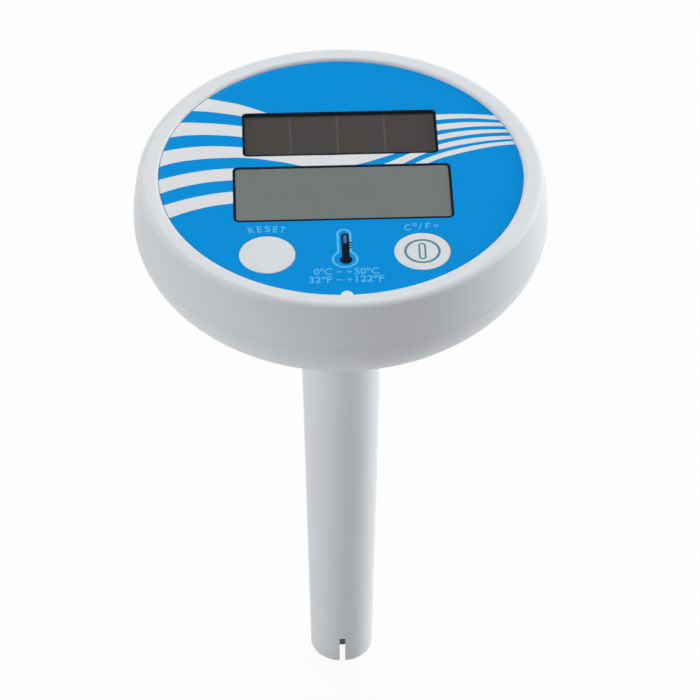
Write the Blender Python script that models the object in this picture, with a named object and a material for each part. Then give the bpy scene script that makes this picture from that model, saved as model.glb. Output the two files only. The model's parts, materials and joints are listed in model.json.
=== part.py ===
"""Floating digital pool thermometer: a round float head on a weighted, slotted stem.

Metres, +Z up, -Y to the front. The origin is on the axis, at the parting plane of the two
head shells, where the head is widest and the water line lies.
"""

import math

import bmesh
import bpy
from mathutils import Matrix, Vector

# Clearances
FIT = 0.0003
TRIM_GAP = 0.0001
KEY_GAP = 0.00015
TIP_ROOM = 0.0006

# Float head
FLOAT_DIAMETER = 0.1092
SIDE_ARC_RADIUS = 0.0550
RIM_HEIGHT = 0.0138
CREST_RADIUS = 0.0026
RIM_LAND = 0.0030
RIM_EDGE_RADIUS = 0.0005
FACE_RECESS = 0.0008
BOWL_DEPTH = 0.0270
BOWL_FOOT_WIDTH = 0.0050
SHELL_WALL = 0.0024
DECK_THICKNESS = 0.0030
TAB_RADIUS = 0.00155
TAB_REACH = 0.0014
TAB_DROP = 0.0003
TONGUE_HEIGHT = 0.0045
TONGUE_WALL = 0.0024
HOUSING_SEAL_CORD = 0.0011

# Printed film and windows
FILM_THICKNESS = 0.0006
LCD_WINDOW_WIDTH = 0.0574
LCD_WINDOW_HEIGHT = 0.0224
LCD_WINDOW_CORNER = 0.0016
SOLAR_WINDOW_WIDTH = 0.0518
SOLAR_WINDOW_HEIGHT = 0.0183
SOLAR_WINDOW_CORNER = 0.0013
WINDOW_BORDER = 0.0006
WINDOW_SPACING = 0.0041
POCKET_CORNER = 0.0006

# Keys and their switches
KEY_DIAMETER = 0.0146
KEY_ANGLE = math.radians(32.45)
KEY_EDGE_DISTANCE = 0.0033
KEY_LCD_DISTANCE = 0.0056
KEY_TOP = 0.0014
KEY_WALL = 0.0012
KEY_POST_DIAMETER = 0.0050
KEY_EDGE_RADIUS = 0.0002
KEY_FLANGE_WIDTH = 0.0012
KEY_FLANGE_THICKNESS = 0.0010
KEY_TRAVEL = 0.0005
SWITCH_SIZE = 0.0060
SWITCH_HEIGHT = 0.0031
PLUNGER_DIAMETER = 0.0035
PLUNGER_RISE = 0.0009
PLUNGER_DEPTH = 0.0012

# Display, solar strip and board
LCD_GLASS = 0.0011
LCD_CONTACT_LEDGE = 0.0026
STRIP_WIDTH = 0.0018
STRIP_END_MARGIN = 0.0040
SOLAR_THICKNESS = 0.0016
SOLAR_LEDGE = 0.0015
SOLAR_WIRE_DIAMETER = 0.0010
SOLAR_WIRE_SPACING = 0.0300
SOLAR_WIRE_INSET = 0.0025
BOARD_THICKNESS = 0.0016
BOARD_EDGE_DISTANCE = 0.0060
BOARD_BACK_MARGIN = 0.0095
CELL_DIAMETER = 0.0200
CELL_THICKNESS = 0.0032
CELL_OFFSET = 0.0160
CELL_STEP = 0.0008
HOLDER_WALL = 0.0012
HOLDER_LIP = 0.0009
CHIP_DIAMETER = 0.0110
CHIP_HEIGHT = 0.0018
CHIP_OFFSET = 0.0160
CONNECTOR_SIZE = 0.0056
CONNECTOR_HEIGHT = 0.0048
CONNECTOR_OFFSET = 0.0120
CONNECTOR_BACK = 0.0100

# Screws: shank radius, head radius, head height, length under the head
BOARD_SCREW_RADIUS = 0.0010
BOARD_SCREW_HEAD_RADIUS = 0.0019
BOARD_SCREW_HEAD_HEIGHT = 0.0014
BOARD_SCREW_LENGTH = 0.0060
BOARD_SCREW_PITCH = 0.0200
BOARD_BOSS_WALL = 0.0016
BOARD_BOSS_DISTANCE = 0.0015
HOUSING_SCREW_RADIUS = 0.0015
HOUSING_SCREW_HEAD_RADIUS = 0.0028
HOUSING_SCREW_HEAD_HEIGHT = 0.0020
HOUSING_SCREW_LENGTH = 0.0140
HOUSING_SCREW_COUNT = 4
HOUSING_SCREW_INSET = 0.0085
HOUSING_BOSS_WALL = 0.0022
COLUMN_WALL = 0.0014
COLUMN_DROP = 0.0040
COLUMN_SEAT = 0.0050
STEM_SCREW_RADIUS = 0.0010
STEM_SCREW_HEAD_RADIUS = 0.0017
STEM_SCREW_HEAD_HEIGHT = 0.0012
STEM_SCREW_LENGTH = 0.0060
STEM_SCREW_COUNT = 3

# Stem and what it holds
STEM_TOP_DIAMETER = 0.02226
STEM_END_DIAMETER = 0.0176
STEM_REACH = 0.1360
STEM_WALL = 0.0018
STEM_END_RADIUS = 0.0008
FLANGE_WIDTH = 0.0080
FLANGE_THICKNESS = 0.0024
PAD_THICKNESS = 0.0068
PAD_MARGIN = 0.0015
STEM_SEAL_CORD = 0.0015
SEAL_LAND = 0.0008
SLOT_WIDTH = 0.00163
SLOT_HEIGHT = 0.0094
END_RECESS_DEPTH = 0.0042
PLUG_LENGTH = 0.0065
BALLAST_LENGTH = 0.0500
BALLAST_BORE_ROOM = 0.0008
SENSOR_CAP_DIAMETER = 0.0050
SENSOR_CAP_WALL = 0.0005
SENSOR_CAP_PROUD = 0.0005
SENSOR_CAP_RIM_WIDTH = 0.0009
SENSOR_CAP_RIM_THICKNESS = 0.0008
BEAD_DIAMETER = 0.0024
LEAD_DIAMETER = 0.0022
LEAD_ENTRY = 0.0025
LEAD_SWING = 0.65
LEAD_MOUTH = 0.12

# Facets
SHELL_STEPS = 48
STEM_STEPS = 32
KEY_STEPS = 24
SMALL_STEPS = 12
SCREW_STEPS = 8
SEAL_SIDES = 6
CORNER_STEPS = 3
EDGE_STEPS = 2
CREST_STEPS = 4
SIDE_STEPS = 6
BOWL_STEPS = 11
CAVITY_STEPS = 6
DOME_STEPS = 4
BEAD_SIDES = 8
BEAD_RINGS = 6
CABLE_ROUNDING = 2
MERGE_DISTANCE = 1e-6
SHARP_ANGLE = math.radians(35)

# Levels of the head, from the parting plane
float_radius = FLOAT_DIAMETER / 2
seam_top = FIT / 2
seam_bottom = -FIT / 2
face_z = RIM_HEIGHT - FACE_RECESS
film_bottom = face_z - FILM_THICKNESS
deck_top = film_bottom - TRIM_GAP
deck_bottom = deck_top - DECK_THICKNESS
panel_top = film_bottom - TRIM_GAP
solar_bottom = panel_top - SOLAR_THICKNESS
lcd_bottom = panel_top - 2 * LCD_GLASS

# Rim circle, tangent inside the arc of the side wall
side_centre_r = float_radius - SIDE_ARC_RADIUS
crest_centre_z = RIM_HEIGHT - CREST_RADIUS
crest_centre_r = side_centre_r + math.sqrt((SIDE_ARC_RADIUS - CREST_RADIUS) ** 2 - crest_centre_z**2)
side_end_angle = math.atan2(crest_centre_z, crest_centre_r - side_centre_r)
recess_radius = crest_centre_r - RIM_LAND
film_radius = recess_radius - TRIM_GAP
tab_y = -(recess_radius - TAB_REACH + TAB_RADIUS)

# Inside of the shells
wall_radius = float_radius - SHELL_WALL
tongue_radius = wall_radius - FIT
cavity_radius = tongue_radius - TONGUE_WALL
housing_screw_circle = cavity_radius - HOUSING_SCREW_INSET
column_radius = HOUSING_SCREW_HEAD_RADIUS + FIT + COLUMN_WALL
column_top = -COLUMN_DROP
column_seat = column_top - COLUMN_SEAT
housing_boss_radius = HOUSING_SCREW_RADIUS + HOUSING_BOSS_WALL

# Layout of the face, from the keys at the front to the solar window at the back
key_radius = KEY_DIAMETER / 2
key_circle = film_radius - KEY_EDGE_DISTANCE - key_radius
key_x = key_circle * math.sin(KEY_ANGLE)
key_y = -key_circle * math.cos(KEY_ANGLE)
lcd_y = key_y + key_radius + KEY_LCD_DISTANCE + LCD_WINDOW_HEIGHT / 2
solar_y = lcd_y + (LCD_WINDOW_HEIGHT + SOLAR_WINDOW_HEIGHT) / 2 + WINDOW_SPACING

# Keys press on plungers in switches, which set the height of the board
flange_top = deck_bottom - FIT
flange_bottom = flange_top - KEY_FLANGE_THICKNESS
plunger_top = flange_bottom - FIT
switch_top = plunger_top - PLUNGER_RISE
switch_bottom = switch_top - SWITCH_HEIGHT
board_top = switch_bottom - FIT
board_bottom = board_top - BOARD_THICKNESS
board_radius = cavity_radius - BOARD_EDGE_DISTANCE
board_back_y = lcd_y + LCD_WINDOW_HEIGHT / 2 + BOARD_BACK_MARGIN
board_boss_radius = BOARD_SCREW_RADIUS + BOARD_BOSS_WALL
board_screw_x = LCD_WINDOW_WIDTH / 2 + FIT + BOARD_BOSS_DISTANCE + board_boss_radius

# Stem, from the foot of the bowl
stem_top_radius = STEM_TOP_DIAMETER / 2
stem_end_radius = STEM_END_DIAMETER / 2
foot_radius = stem_top_radius + BOWL_FOOT_WIDTH
foot_z = -BOWL_DEPTH * math.sqrt(1 - (foot_radius / float_radius) ** 2)
stem_end_z = foot_z - STEM_REACH
pad_top = foot_z + PAD_THICKNESS
stem_flange_bottom = pad_top + FIT
stem_flange_top = stem_flange_bottom + FLANGE_THICKNESS


def stem_radius(z):
    """Outer radius of the drafted stem at a height."""
    share = (z - stem_end_z) / (foot_z - stem_end_z)
    return stem_end_radius + share * (stem_top_radius - stem_end_radius)


def bore_radius(z):
    return stem_radius(z) - STEM_WALL


stem_hole_radius = stem_radius(pad_top) + FIT
flange_radius = stem_hole_radius + FLANGE_WIDTH
seal_groove_inner = stem_hole_radius + SEAL_LAND
seal_groove_outer = seal_groove_inner + STEM_SEAL_CORD + 2 * FIT
stem_screw_circle = (seal_groove_outer + flange_radius) / 2

# Plug, probe and ballast, from the end of the stem up
plug_bottom = stem_end_z + END_RECESS_DEPTH
plug_top = plug_bottom + PLUG_LENGTH
cap_radius = SENSOR_CAP_DIAMETER / 2
cap_rim_radius = cap_radius + SENSOR_CAP_RIM_WIDTH
cap_tip = plug_bottom - SENSOR_CAP_PROUD
cap_rim_bottom = plug_top + FIT
cap_rim_top = cap_rim_bottom + SENSOR_CAP_RIM_THICKNESS
ballast_bottom = plug_top + FIT
ballast_top = ballast_bottom + BALLAST_LENGTH
ballast_bore = LEAD_DIAMETER / 2 + BALLAST_BORE_ROOM
bead_z = cap_tip + SENSOR_CAP_WALL + FIT + BEAD_DIAMETER / 2
lead_end = bead_z + BEAD_DIAMETER / 2 + FIT


# Finishes

def finish(name, colour, roughness, metallic=0.0, transmission=0.0):
    """A Principled material, with its colour as linear values."""
    made = bpy.data.materials.new(name)
    made.use_nodes = True
    shader = made.node_tree.nodes["Principled BSDF"]
    shader.inputs["Base Color"].default_value = (*colour, 1.0)
    shader.inputs["Roughness"].default_value = roughness
    shader.inputs["Metallic"].default_value = metallic
    shader.inputs["Transmission Weight"].default_value = transmission
    made.diffuse_color = (*colour, 1.0)
    return made


# Shaping

def arc(centre_r, centre_z, radius, start, end, steps):
    """Points of an arc in a turned profile, angles measured from the outward direction."""
    angles = [start + (end - start) * i / steps for i in range(steps + 1)]
    return [(centre_r + radius * math.cos(a), centre_z + radius * math.sin(a)) for a in angles]


def bowl_curve(width, depth, start, end, steps):
    """Points of the elliptic bowl, from one angle below the parting plane to another."""
    angles = [start + (end - start) * i / steps for i in range(steps + 1)]
    return [(width * math.cos(a), -depth * math.sin(a)) for a in angles]


def place(name, shape, material=None, location=(0, 0, 0)):
    """Turns a bmesh into an object with smooth round faces and sharp corners."""
    mesh = bpy.data.meshes.new(name)
    shape.to_mesh(mesh)
    shape.free()
    mesh.shade_smooth()
    mesh.set_sharp_from_angle(angle=SHARP_ANGLE)
    made = bpy.data.objects.new(name, mesh)
    made.location = location
    bpy.context.scene.collection.objects.link(made)
    if material:
        mesh.materials.append(material)
    return made


def turn_profile(profile, steps):
    """Spins a profile of (radius, height) points about Z; one with both ends on Z closes there."""
    shape = bmesh.new()
    points = [shape.verts.new((radius, 0, z)) for radius, z in profile]
    edges = [shape.edges.new(pair) for pair in zip(points, points[1:])]
    if profile[0][0] > 0:
        edges.append(shape.edges.new((points[-1], points[0])))
    bmesh.ops.spin(
        shape,
        geom=points + edges,
        cent=(0, 0, 0),
        axis=(0, 0, 1),
        angle=2 * math.pi,
        steps=steps,
        use_merge=True,
    )
    bmesh.ops.remove_doubles(shape, verts=shape.verts, dist=MERGE_DISTANCE)
    bmesh.ops.recalc_face_normals(shape, faces=shape.faces)
    return shape


def turned(name, profile, material=None, steps=SMALL_STEPS, location=(0, 0, 0)):
    return place(name, turn_profile(profile, steps), material, location)


def rounded_outline(width, height, corner):
    """Corner points of a rectangle with round corners, centred on Z."""
    outline = []
    for quarter, (sx, sy) in enumerate(((1, 1), (-1, 1), (-1, -1), (1, -1))):
        for step in range(CORNER_STEPS + 1):
            angle = math.pi / 2 * (quarter + step / CORNER_STEPS)
            x = sx * (width / 2 - corner) + corner * math.cos(angle)
            y = sy * (height / 2 - corner) + corner * math.sin(angle)
            outline.append((x, y))
    return outline


def extrude_outline(shape, outline, bottom, top, centre=(0, 0)):
    """Adds the solid between two levels over a flat outline."""
    base = [shape.verts.new((x + centre[0], y + centre[1], bottom)) for x, y in outline]
    face = shape.faces.new(base)
    grown = bmesh.ops.extrude_face_region(shape, geom=[face])["geom"]
    risen = [item for item in grown if isinstance(item, bmesh.types.BMVert)]
    bmesh.ops.translate(shape, verts=risen, vec=(0, 0, top - bottom))
    bmesh.ops.recalc_face_normals(shape, faces=shape.faces)
    return shape


def plate(name, outline, bottom, top, material=None, centre=(0, 0)):
    return place(name, extrude_outline(bmesh.new(), outline, bottom, top, centre), material)


def bar(name, size_x, size_y, bottom, top, material, centre):
    """A square-cornered bar between two levels."""
    shape = bmesh.new()
    bmesh.ops.create_cube(shape, size=1.0)
    bmesh.ops.scale(shape, verts=shape.verts, vec=(size_x, size_y, top - bottom))
    bmesh.ops.translate(shape, verts=shape.verts, vec=(*centre, (top + bottom) / 2))
    return place(name, shape, material)


def add_cylinder(shape, radius, bottom, top, centre, steps=SMALL_STEPS):
    bmesh.ops.create_cone(
        shape,
        cap_ends=True,
        segments=steps,
        radius1=radius,
        radius2=radius,
        depth=top - bottom,
        matrix=Matrix.Translation((*centre, (top + bottom) / 2)),
    )


def cylinders(name, radius, bottom, top, centres, steps=SMALL_STEPS):
    """One helper that holds a round pillar at each centre."""
    shape = bmesh.new()
    for centre in centres:
        add_cylinder(shape, radius, bottom, top, centre, steps)
    return place(name, shape)


def combine(target, helper, operation):
    """Keeps the helper as a hidden wire object and lets a Boolean use it."""
    helper.hide_render = True
    helper.display_type = "WIRE"
    modifier = target.modifiers.new(helper.name, "BOOLEAN")
    modifier.operation = operation
    modifier.solver = "EXACT"
    modifier.object = helper


def cut(target, *helpers):
    for helper in helpers:
        combine(target, helper, "DIFFERENCE")


def fuse(target, *helpers):
    for helper in helpers:
        combine(target, helper, "UNION")


def screw(name, radius, head_radius, head_height, length, material, location, head_up):
    """A pan-head screw whose head bears at its location; the shank points away from the head."""
    profile = [
        (0, head_height),
        (head_radius - head_height / 2, head_height),
        (head_radius, head_height / 2),
        (head_radius, 0),
        (radius, 0),
        (radius, radius - length),
        (0, -length),
    ]
    made = turned(name, profile, material, SCREW_STEPS, location)
    if not head_up:
        made.data.transform(Matrix.Rotation(math.pi, 4, "X"))
    return made


def smooth_route(points, spacing):
    """Evenly spaced points on a smooth curve through the route's own points."""
    route = [Vector(p) for p in points]
    ends = [2 * route[0] - route[1], *route, 2 * route[-1] - route[-2]]
    fine = [route[0]]
    for before, start, end, after in zip(ends, ends[1:], ends[2:], ends[3:]):
        steps = max(1, round((end - start).length / spacing))
        for step in range(1, steps + 1):
            t = step / steps
            pull = (end - before) * t + (2 * before - 5 * start + 4 * end - after) * t**2
            pull += (3 * start - before - 3 * end + after) * t**3
            fine.append(start + pull / 2)
    return fine


def cable(name, points, diameter, material):
    """A round lead along a route, with closed ends."""
    curve = bpy.data.curves.new(name, "CURVE")
    curve.dimensions = "3D"
    curve.bevel_depth = diameter / 2
    curve.bevel_resolution = CABLE_ROUNDING
    curve.use_fill_caps = True
    line = curve.splines.new("POLY")
    line.points.add(len(points) - 1)
    for point, place_at in zip(line.points, points):
        point.co = (*place_at, 1.0)
    curve.materials.append(material)
    made = bpy.data.objects.new(name, curve)
    bpy.context.scene.collection.objects.link(made)
    return made


def ring_of(count, radius, first_angle=-math.pi / 2):
    """Centres spaced evenly round the axis, starting at the front."""
    angles = [first_angle + 2 * math.pi * i / count for i in range(count)]
    return [(radius * math.cos(a), radius * math.sin(a)) for a in angles]


key_centres = {"reset": (-key_x, key_y), "unit": (key_x, key_y)}
housing_screw_centres = ring_of(HOUSING_SCREW_COUNT, housing_screw_circle)
stem_screw_centres = ring_of(STEM_SCREW_COUNT, stem_screw_circle)
board_screw_centres = [
    (side * board_screw_x, lcd_y + end * BOARD_SCREW_PITCH / 2) for end in (-1, 1) for side in (-1, 1)
]


# Head shells

def make_top_housing(material):
    """Rim, recessed deck and side wall in one moulding, with bosses under the deck."""
    edge_r = recess_radius + RIM_EDGE_RADIUS
    edge_z = RIM_HEIGHT - RIM_EDGE_RADIUS
    side_start = math.asin(seam_top / SIDE_ARC_RADIUS)
    wall_top = TONGUE_HEIGHT + 2 * FIT
    deck_edge = side_centre_r + math.sqrt(SIDE_ARC_RADIUS**2 - deck_bottom**2) - SHELL_WALL
    profile = [(0, deck_top), (recess_radius, deck_top)]
    profile += arc(edge_r, edge_z, RIM_EDGE_RADIUS, math.pi, math.pi / 2, EDGE_STEPS)
    profile += arc(crest_centre_r, crest_centre_z, CREST_RADIUS, math.pi / 2, side_end_angle, CREST_STEPS)
    profile += arc(side_centre_r, 0, SIDE_ARC_RADIUS, side_end_angle, side_start, SIDE_STEPS)[1:]
    profile += [(wall_radius, seam_top), (wall_radius, wall_top), (deck_edge, deck_bottom), (0, deck_bottom)]
    housing = turned("top_housing", profile, material, SHELL_STEPS)

    inside_deck = deck_bottom + DECK_THICKNESS / 2
    tab = cylinders("tab_shape", TAB_RADIUS, inside_deck, RIM_HEIGHT - TAB_DROP, [(0, tab_y)])
    board_bosses = cylinders(
        "board_boss_shape", board_boss_radius, board_top + FIT, inside_deck, board_screw_centres
    )
    housing_bosses = cylinders(
        "housing_boss_shape", housing_boss_radius, column_top + FIT, inside_deck, housing_screw_centres
    )
    fuse(housing, tab, board_bosses, housing_bosses)

    above = RIM_HEIGHT
    below = deck_bottom - DECK_THICKNESS / 2
    lcd_outline = rounded_outline(LCD_WINDOW_WIDTH + 2 * FIT, LCD_WINDOW_HEIGHT + 2 * FIT, POCKET_CORNER)
    solar_outline = rounded_outline(
        SOLAR_WINDOW_WIDTH + 2 * FIT, SOLAR_WINDOW_HEIGHT + 2 * FIT, POCKET_CORNER
    )
    solar_opening = rounded_outline(
        SOLAR_WINDOW_WIDTH - 2 * SOLAR_LEDGE, SOLAR_WINDOW_HEIGHT - 2 * SOLAR_LEDGE, POCKET_CORNER
    )
    lcd_aperture = plate("lcd_aperture_shape", lcd_outline, below, above, centre=(0, lcd_y))
    solar_pocket = plate(
        "solar_pocket_shape", solar_outline, solar_bottom - TRIM_GAP, above, centre=(0, solar_y)
    )
    solar_hole = plate("solar_hole_shape", solar_opening, below, above, centre=(0, solar_y))
    key_holes = cylinders(
        "key_hole_shape", key_radius + KEY_GAP, below, above, key_centres.values(), KEY_STEPS
    )
    board_tip = board_bottom - FIT + BOARD_SCREW_LENGTH + TIP_ROOM
    board_pilots = cylinders(
        "board_pilot_shape", BOARD_SCREW_RADIUS + FIT / 2, board_bottom, board_tip, board_screw_centres
    )
    housing_tip = column_seat - FIT + HOUSING_SCREW_LENGTH + TIP_ROOM
    housing_pilots = cylinders(
        "housing_pilot_shape",
        HOUSING_SCREW_RADIUS + FIT / 2,
        column_seat,
        housing_tip,
        housing_screw_centres,
    )
    cut(housing, lcd_aperture, solar_pocket, solar_hole, key_holes, board_pilots, housing_pilots)


def make_lower_bowl(material):
    """Bowl with a sealing tongue, screw columns and a thick pad that carries the stem."""
    foot_angle = math.acos(foot_radius / float_radius)
    seam_angle = math.asin(-seam_bottom / BOWL_DEPTH)
    groove_floor = tongue_radius - HOUSING_SEAL_CORD
    groove_half = HOUSING_SEAL_CORD / 2 + FIT
    groove_z = TONGUE_HEIGHT / 2
    profile = [
        (0, TONGUE_HEIGHT),
        (tongue_radius, TONGUE_HEIGHT),
        (tongue_radius, groove_z + groove_half),
        (groove_floor, groove_z + groove_half),
        (groove_floor, groove_z - groove_half),
        (tongue_radius, groove_z - groove_half),
        (tongue_radius, seam_bottom),
    ]
    profile += bowl_curve(float_radius, BOWL_DEPTH, seam_angle, foot_angle, BOWL_STEPS)
    profile.append((0, foot_z))
    bowl = turned("lower_bowl", profile, material, SHELL_STEPS)

    inner_depth = BOWL_DEPTH - SHELL_WALL
    pad_radius = flange_radius + PAD_MARGIN
    inner_start = math.acos(cavity_radius / wall_radius)
    inner_end = math.acos(pad_radius / wall_radius)
    above = TONGUE_HEIGHT + TONGUE_WALL
    inside = [(0, above), (cavity_radius, above)]
    inside += bowl_curve(wall_radius, inner_depth, inner_start, inner_end, CAVITY_STEPS)
    inside += [(pad_radius, pad_top), (0, pad_top)]
    cavity = turned("cavity_shape", inside, steps=SHELL_STEPS)
    cut(cavity, cylinders("column_shape", column_radius, -BOWL_DEPTH, column_top, housing_screw_centres))

    counterbores = cylinders(
        "counterbore_shape",
        HOUSING_SCREW_HEAD_RADIUS + FIT,
        -BOWL_DEPTH,
        column_seat,
        housing_screw_centres,
    )
    shank_holes = cylinders(
        "shank_hole_shape",
        HOUSING_SCREW_RADIUS + FIT / 2,
        column_seat - FIT,
        0,
        housing_screw_centres,
    )
    stem_hole = cylinders("stem_hole_shape", stem_hole_radius, -BOWL_DEPTH, 0, [(0, 0)], STEM_STEPS)
    seal_groove = turned(
        "stem_seal_groove_shape",
        [
            (seal_groove_inner, 0),
            (seal_groove_outer, 0),
            (seal_groove_outer, pad_top - STEM_SEAL_CORD),
            (seal_groove_inner, pad_top - STEM_SEAL_CORD),
        ],
        steps=STEM_STEPS,
    )
    pilot_end = stem_flange_top + FIT - STEM_SCREW_LENGTH - TIP_ROOM
    stem_pilots = cylinders(
        "stem_pilot_shape", STEM_SCREW_RADIUS + FIT / 2, pilot_end, 0, stem_screw_centres
    )
    cut(bowl, cavity, counterbores, shank_holes, stem_hole, seal_groove, stem_pilots)


def make_seal(name, cord, centre_r, centre_z, steps, material):
    """An O-ring, its cord a regular polygon in section."""
    corner = math.pi / SEAL_SIDES
    section = arc(centre_r, centre_z, cord / 2, corner, corner - 2 * math.pi, SEAL_SIDES)[:-1]
    turned(name, section, material, steps)


def make_housing_screws(material):
    for number, centre in enumerate(housing_screw_centres, 1):
        screw(
            f"housing_screw_{number}",
            HOUSING_SCREW_RADIUS,
            HOUSING_SCREW_HEAD_RADIUS,
            HOUSING_SCREW_HEAD_HEIGHT,
            HOUSING_SCREW_LENGTH,
            material,
            (*centre, column_seat - FIT),
            head_up=False,
        )


# Face

def make_film(material):
    """Printed film with cut-outs for the windows, the keys and the locating tab."""
    disc = [(0, face_z), (film_radius, face_z), (film_radius, film_bottom), (0, film_bottom)]
    film = turned("face_film", disc, material, SHELL_STEPS)
    below = film_bottom - FILM_THICKNESS
    above = face_z + FILM_THICKNESS
    lcd_outline = rounded_outline(LCD_WINDOW_WIDTH, LCD_WINDOW_HEIGHT, LCD_WINDOW_CORNER)
    solar_outline = rounded_outline(SOLAR_WINDOW_WIDTH, SOLAR_WINDOW_HEIGHT, SOLAR_WINDOW_CORNER)
    cut(
        film,
        plate("film_lcd_shape", lcd_outline, below, above, centre=(0, lcd_y)),
        plate("film_solar_shape", solar_outline, below, above, centre=(0, solar_y)),
        cylinders("film_key_shape", key_radius + KEY_GAP, below, above, key_centres.values(), KEY_STEPS),
        cylinders("film_tab_shape", TAB_RADIUS + TRIM_GAP, below, above, [(0, tab_y)]),
    )


def make_window(name, width, height, corner, centre_y, pane_material, gasket_material):
    """A clear pane in a thin dark gasket, both flush with the film."""

    def outline(inset):
        return rounded_outline(width - 2 * inset, height - 2 * inset, corner - inset)

    pane_inset = 2 * TRIM_GAP + WINDOW_BORDER
    plate(f"{name}_pane", outline(pane_inset), film_bottom, face_z, pane_material, (0, centre_y))
    gasket = plate(
        f"{name}_gasket", outline(TRIM_GAP), film_bottom, face_z, gasket_material, (0, centre_y)
    )
    hole = plate(
        f"{name}_gasket_shape",
        outline(TRIM_GAP + WINDOW_BORDER),
        film_bottom - FILM_THICKNESS,
        face_z + FILM_THICKNESS,
        centre=(0, centre_y),
    )
    cut(gasket, hole)


def make_key(name, material):
    """A hollow cap with a retaining flange under the deck and a post that presses the switch."""
    inner_radius = key_radius - KEY_WALL
    post_radius = KEY_POST_DIAMETER / 2
    ceiling = face_z - KEY_TOP
    edge_r = key_radius - KEY_EDGE_RADIUS
    profile = [(0, face_z)]
    profile += arc(edge_r, face_z - KEY_EDGE_RADIUS, KEY_EDGE_RADIUS, math.pi / 2, 0, EDGE_STEPS)
    profile += [
        (key_radius, flange_top),
        (key_radius + KEY_FLANGE_WIDTH, flange_top),
        (key_radius + KEY_FLANGE_WIDTH, flange_bottom),
        (inner_radius, flange_bottom),
        (inner_radius, ceiling),
        (post_radius, ceiling),
        (post_radius, flange_bottom),
        (0, flange_bottom),
    ]
    turned(f"{name}_key", profile, material, KEY_STEPS, (*key_centres[name], 0))


def make_switch(name, body_material, plunger_material):
    """A tactile switch on the board, and the plunger that the key pushes into it."""
    centre = key_centres[name]
    plunger_radius = PLUNGER_DIAMETER / 2
    plunger_bottom = switch_top - PLUNGER_DEPTH
    body = bar(
        f"{name}_switch", SWITCH_SIZE, SWITCH_SIZE, switch_bottom, switch_top, body_material, centre
    )
    well = cylinders(
        f"{name}_switch_shape",
        plunger_radius + KEY_GAP,
        plunger_bottom - KEY_TRAVEL - FIT,
        plunger_top,
        [centre],
    )
    cut(body, well)
    profile = [
        (0, plunger_top),
        (plunger_radius, plunger_top),
        (plunger_radius, plunger_bottom),
        (0, plunger_bottom),
    ]
    turned(f"{name}_plunger", profile, plunger_material, SMALL_STEPS, (*centre, 0))


# Display, solar strip and board

def make_lcd(glass_material, zebra_material, foam_material):
    """Two bonded glasses, the front one overhanging the contact strip at the front edge."""
    front_y = lcd_y - LCD_WINDOW_HEIGHT / 2
    back_y = lcd_y + LCD_WINDOW_HEIGHT / 2
    contact_z = panel_top - LCD_GLASS
    shape = bmesh.new()
    outline = [
        (front_y, panel_top),
        (front_y, contact_z),
        (front_y + LCD_CONTACT_LEDGE, contact_z),
        (front_y + LCD_CONTACT_LEDGE, lcd_bottom),
        (back_y, lcd_bottom),
        (back_y, panel_top),
    ]
    face = shape.faces.new([shape.verts.new((-LCD_WINDOW_WIDTH / 2, y, z)) for y, z in outline])
    grown = bmesh.ops.extrude_face_region(shape, geom=[face])["geom"]
    moved = [item for item in grown if isinstance(item, bmesh.types.BMVert)]
    bmesh.ops.translate(shape, verts=moved, vec=(LCD_WINDOW_WIDTH, 0, 0))
    bmesh.ops.recalc_face_normals(shape, faces=shape.faces)
    place("lcd_panel", shape, glass_material)

    length = LCD_WINDOW_WIDTH - 2 * STRIP_END_MARGIN
    strip_bottom = board_top + FIT
    zebra_y = front_y + LCD_CONTACT_LEDGE / 2
    foam_y = back_y - LCD_CONTACT_LEDGE / 2
    bar("zebra_strip", length, STRIP_WIDTH, strip_bottom, contact_z - FIT, zebra_material, (0, zebra_y))
    bar("lcd_foam_strip", length, STRIP_WIDTH, strip_bottom, lcd_bottom - FIT, foam_material, (0, foam_y))


def make_solar(panel_material, wire_material):
    """The solar strip on its ledge, and two short wires down to the board."""
    bar(
        "solar_panel",
        SOLAR_WINDOW_WIDTH,
        SOLAR_WINDOW_HEIGHT,
        solar_bottom,
        panel_top,
        panel_material,
        (0, solar_y),
    )
    panel_y = solar_y - SOLAR_WINDOW_HEIGHT / 2 + SOLAR_LEDGE + SOLAR_WIRE_INSET
    board_y = board_back_y - SOLAR_WIRE_INSET
    high = solar_bottom - FIT
    low = board_top + FIT
    for side, name in ((-1, "solar_wire_left"), (1, "solar_wire_right")):
        x = side * SOLAR_WIRE_SPACING / 2
        bend = SOLAR_WIRE_DIAMETER
        route = [(x, panel_y, high), (x, panel_y, high - bend), (x, board_y, low + bend), (x, board_y, low)]
        cable(name, smooth_route(route, 2 * SOLAR_WIRE_DIAMETER), SOLAR_WIRE_DIAMETER, wire_material)


def make_board(material):
    """A round board cut straight at the back, notched round the housing bosses."""
    back_angle = math.asin(board_back_y / board_radius)
    steps = SHELL_STEPS // 2
    sweep = math.pi + 2 * back_angle
    angles = [math.pi - back_angle + sweep * i / steps for i in range(steps + 1)]
    outline = [(board_radius * math.cos(a), board_radius * math.sin(a)) for a in angles]
    board = plate("main_board", outline, board_bottom, board_top, material)
    below = board_bottom - BOARD_THICKNESS
    above = board_top + BOARD_THICKNESS
    cut(
        board,
        cylinders("board_notch_shape", housing_boss_radius + FIT, below, above, housing_screw_centres),
        cylinders("board_hole_shape", BOARD_SCREW_RADIUS + FIT / 2, below, above, board_screw_centres),
    )


def make_board_screws(material):
    for number, centre in enumerate(board_screw_centres, 1):
        screw(
            f"board_screw_{number}",
            BOARD_SCREW_RADIUS,
            BOARD_SCREW_HEAD_RADIUS,
            BOARD_SCREW_HEAD_HEIGHT,
            BOARD_SCREW_LENGTH,
            material,
            (*centre, board_bottom - FIT),
            head_up=False,
        )


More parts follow.
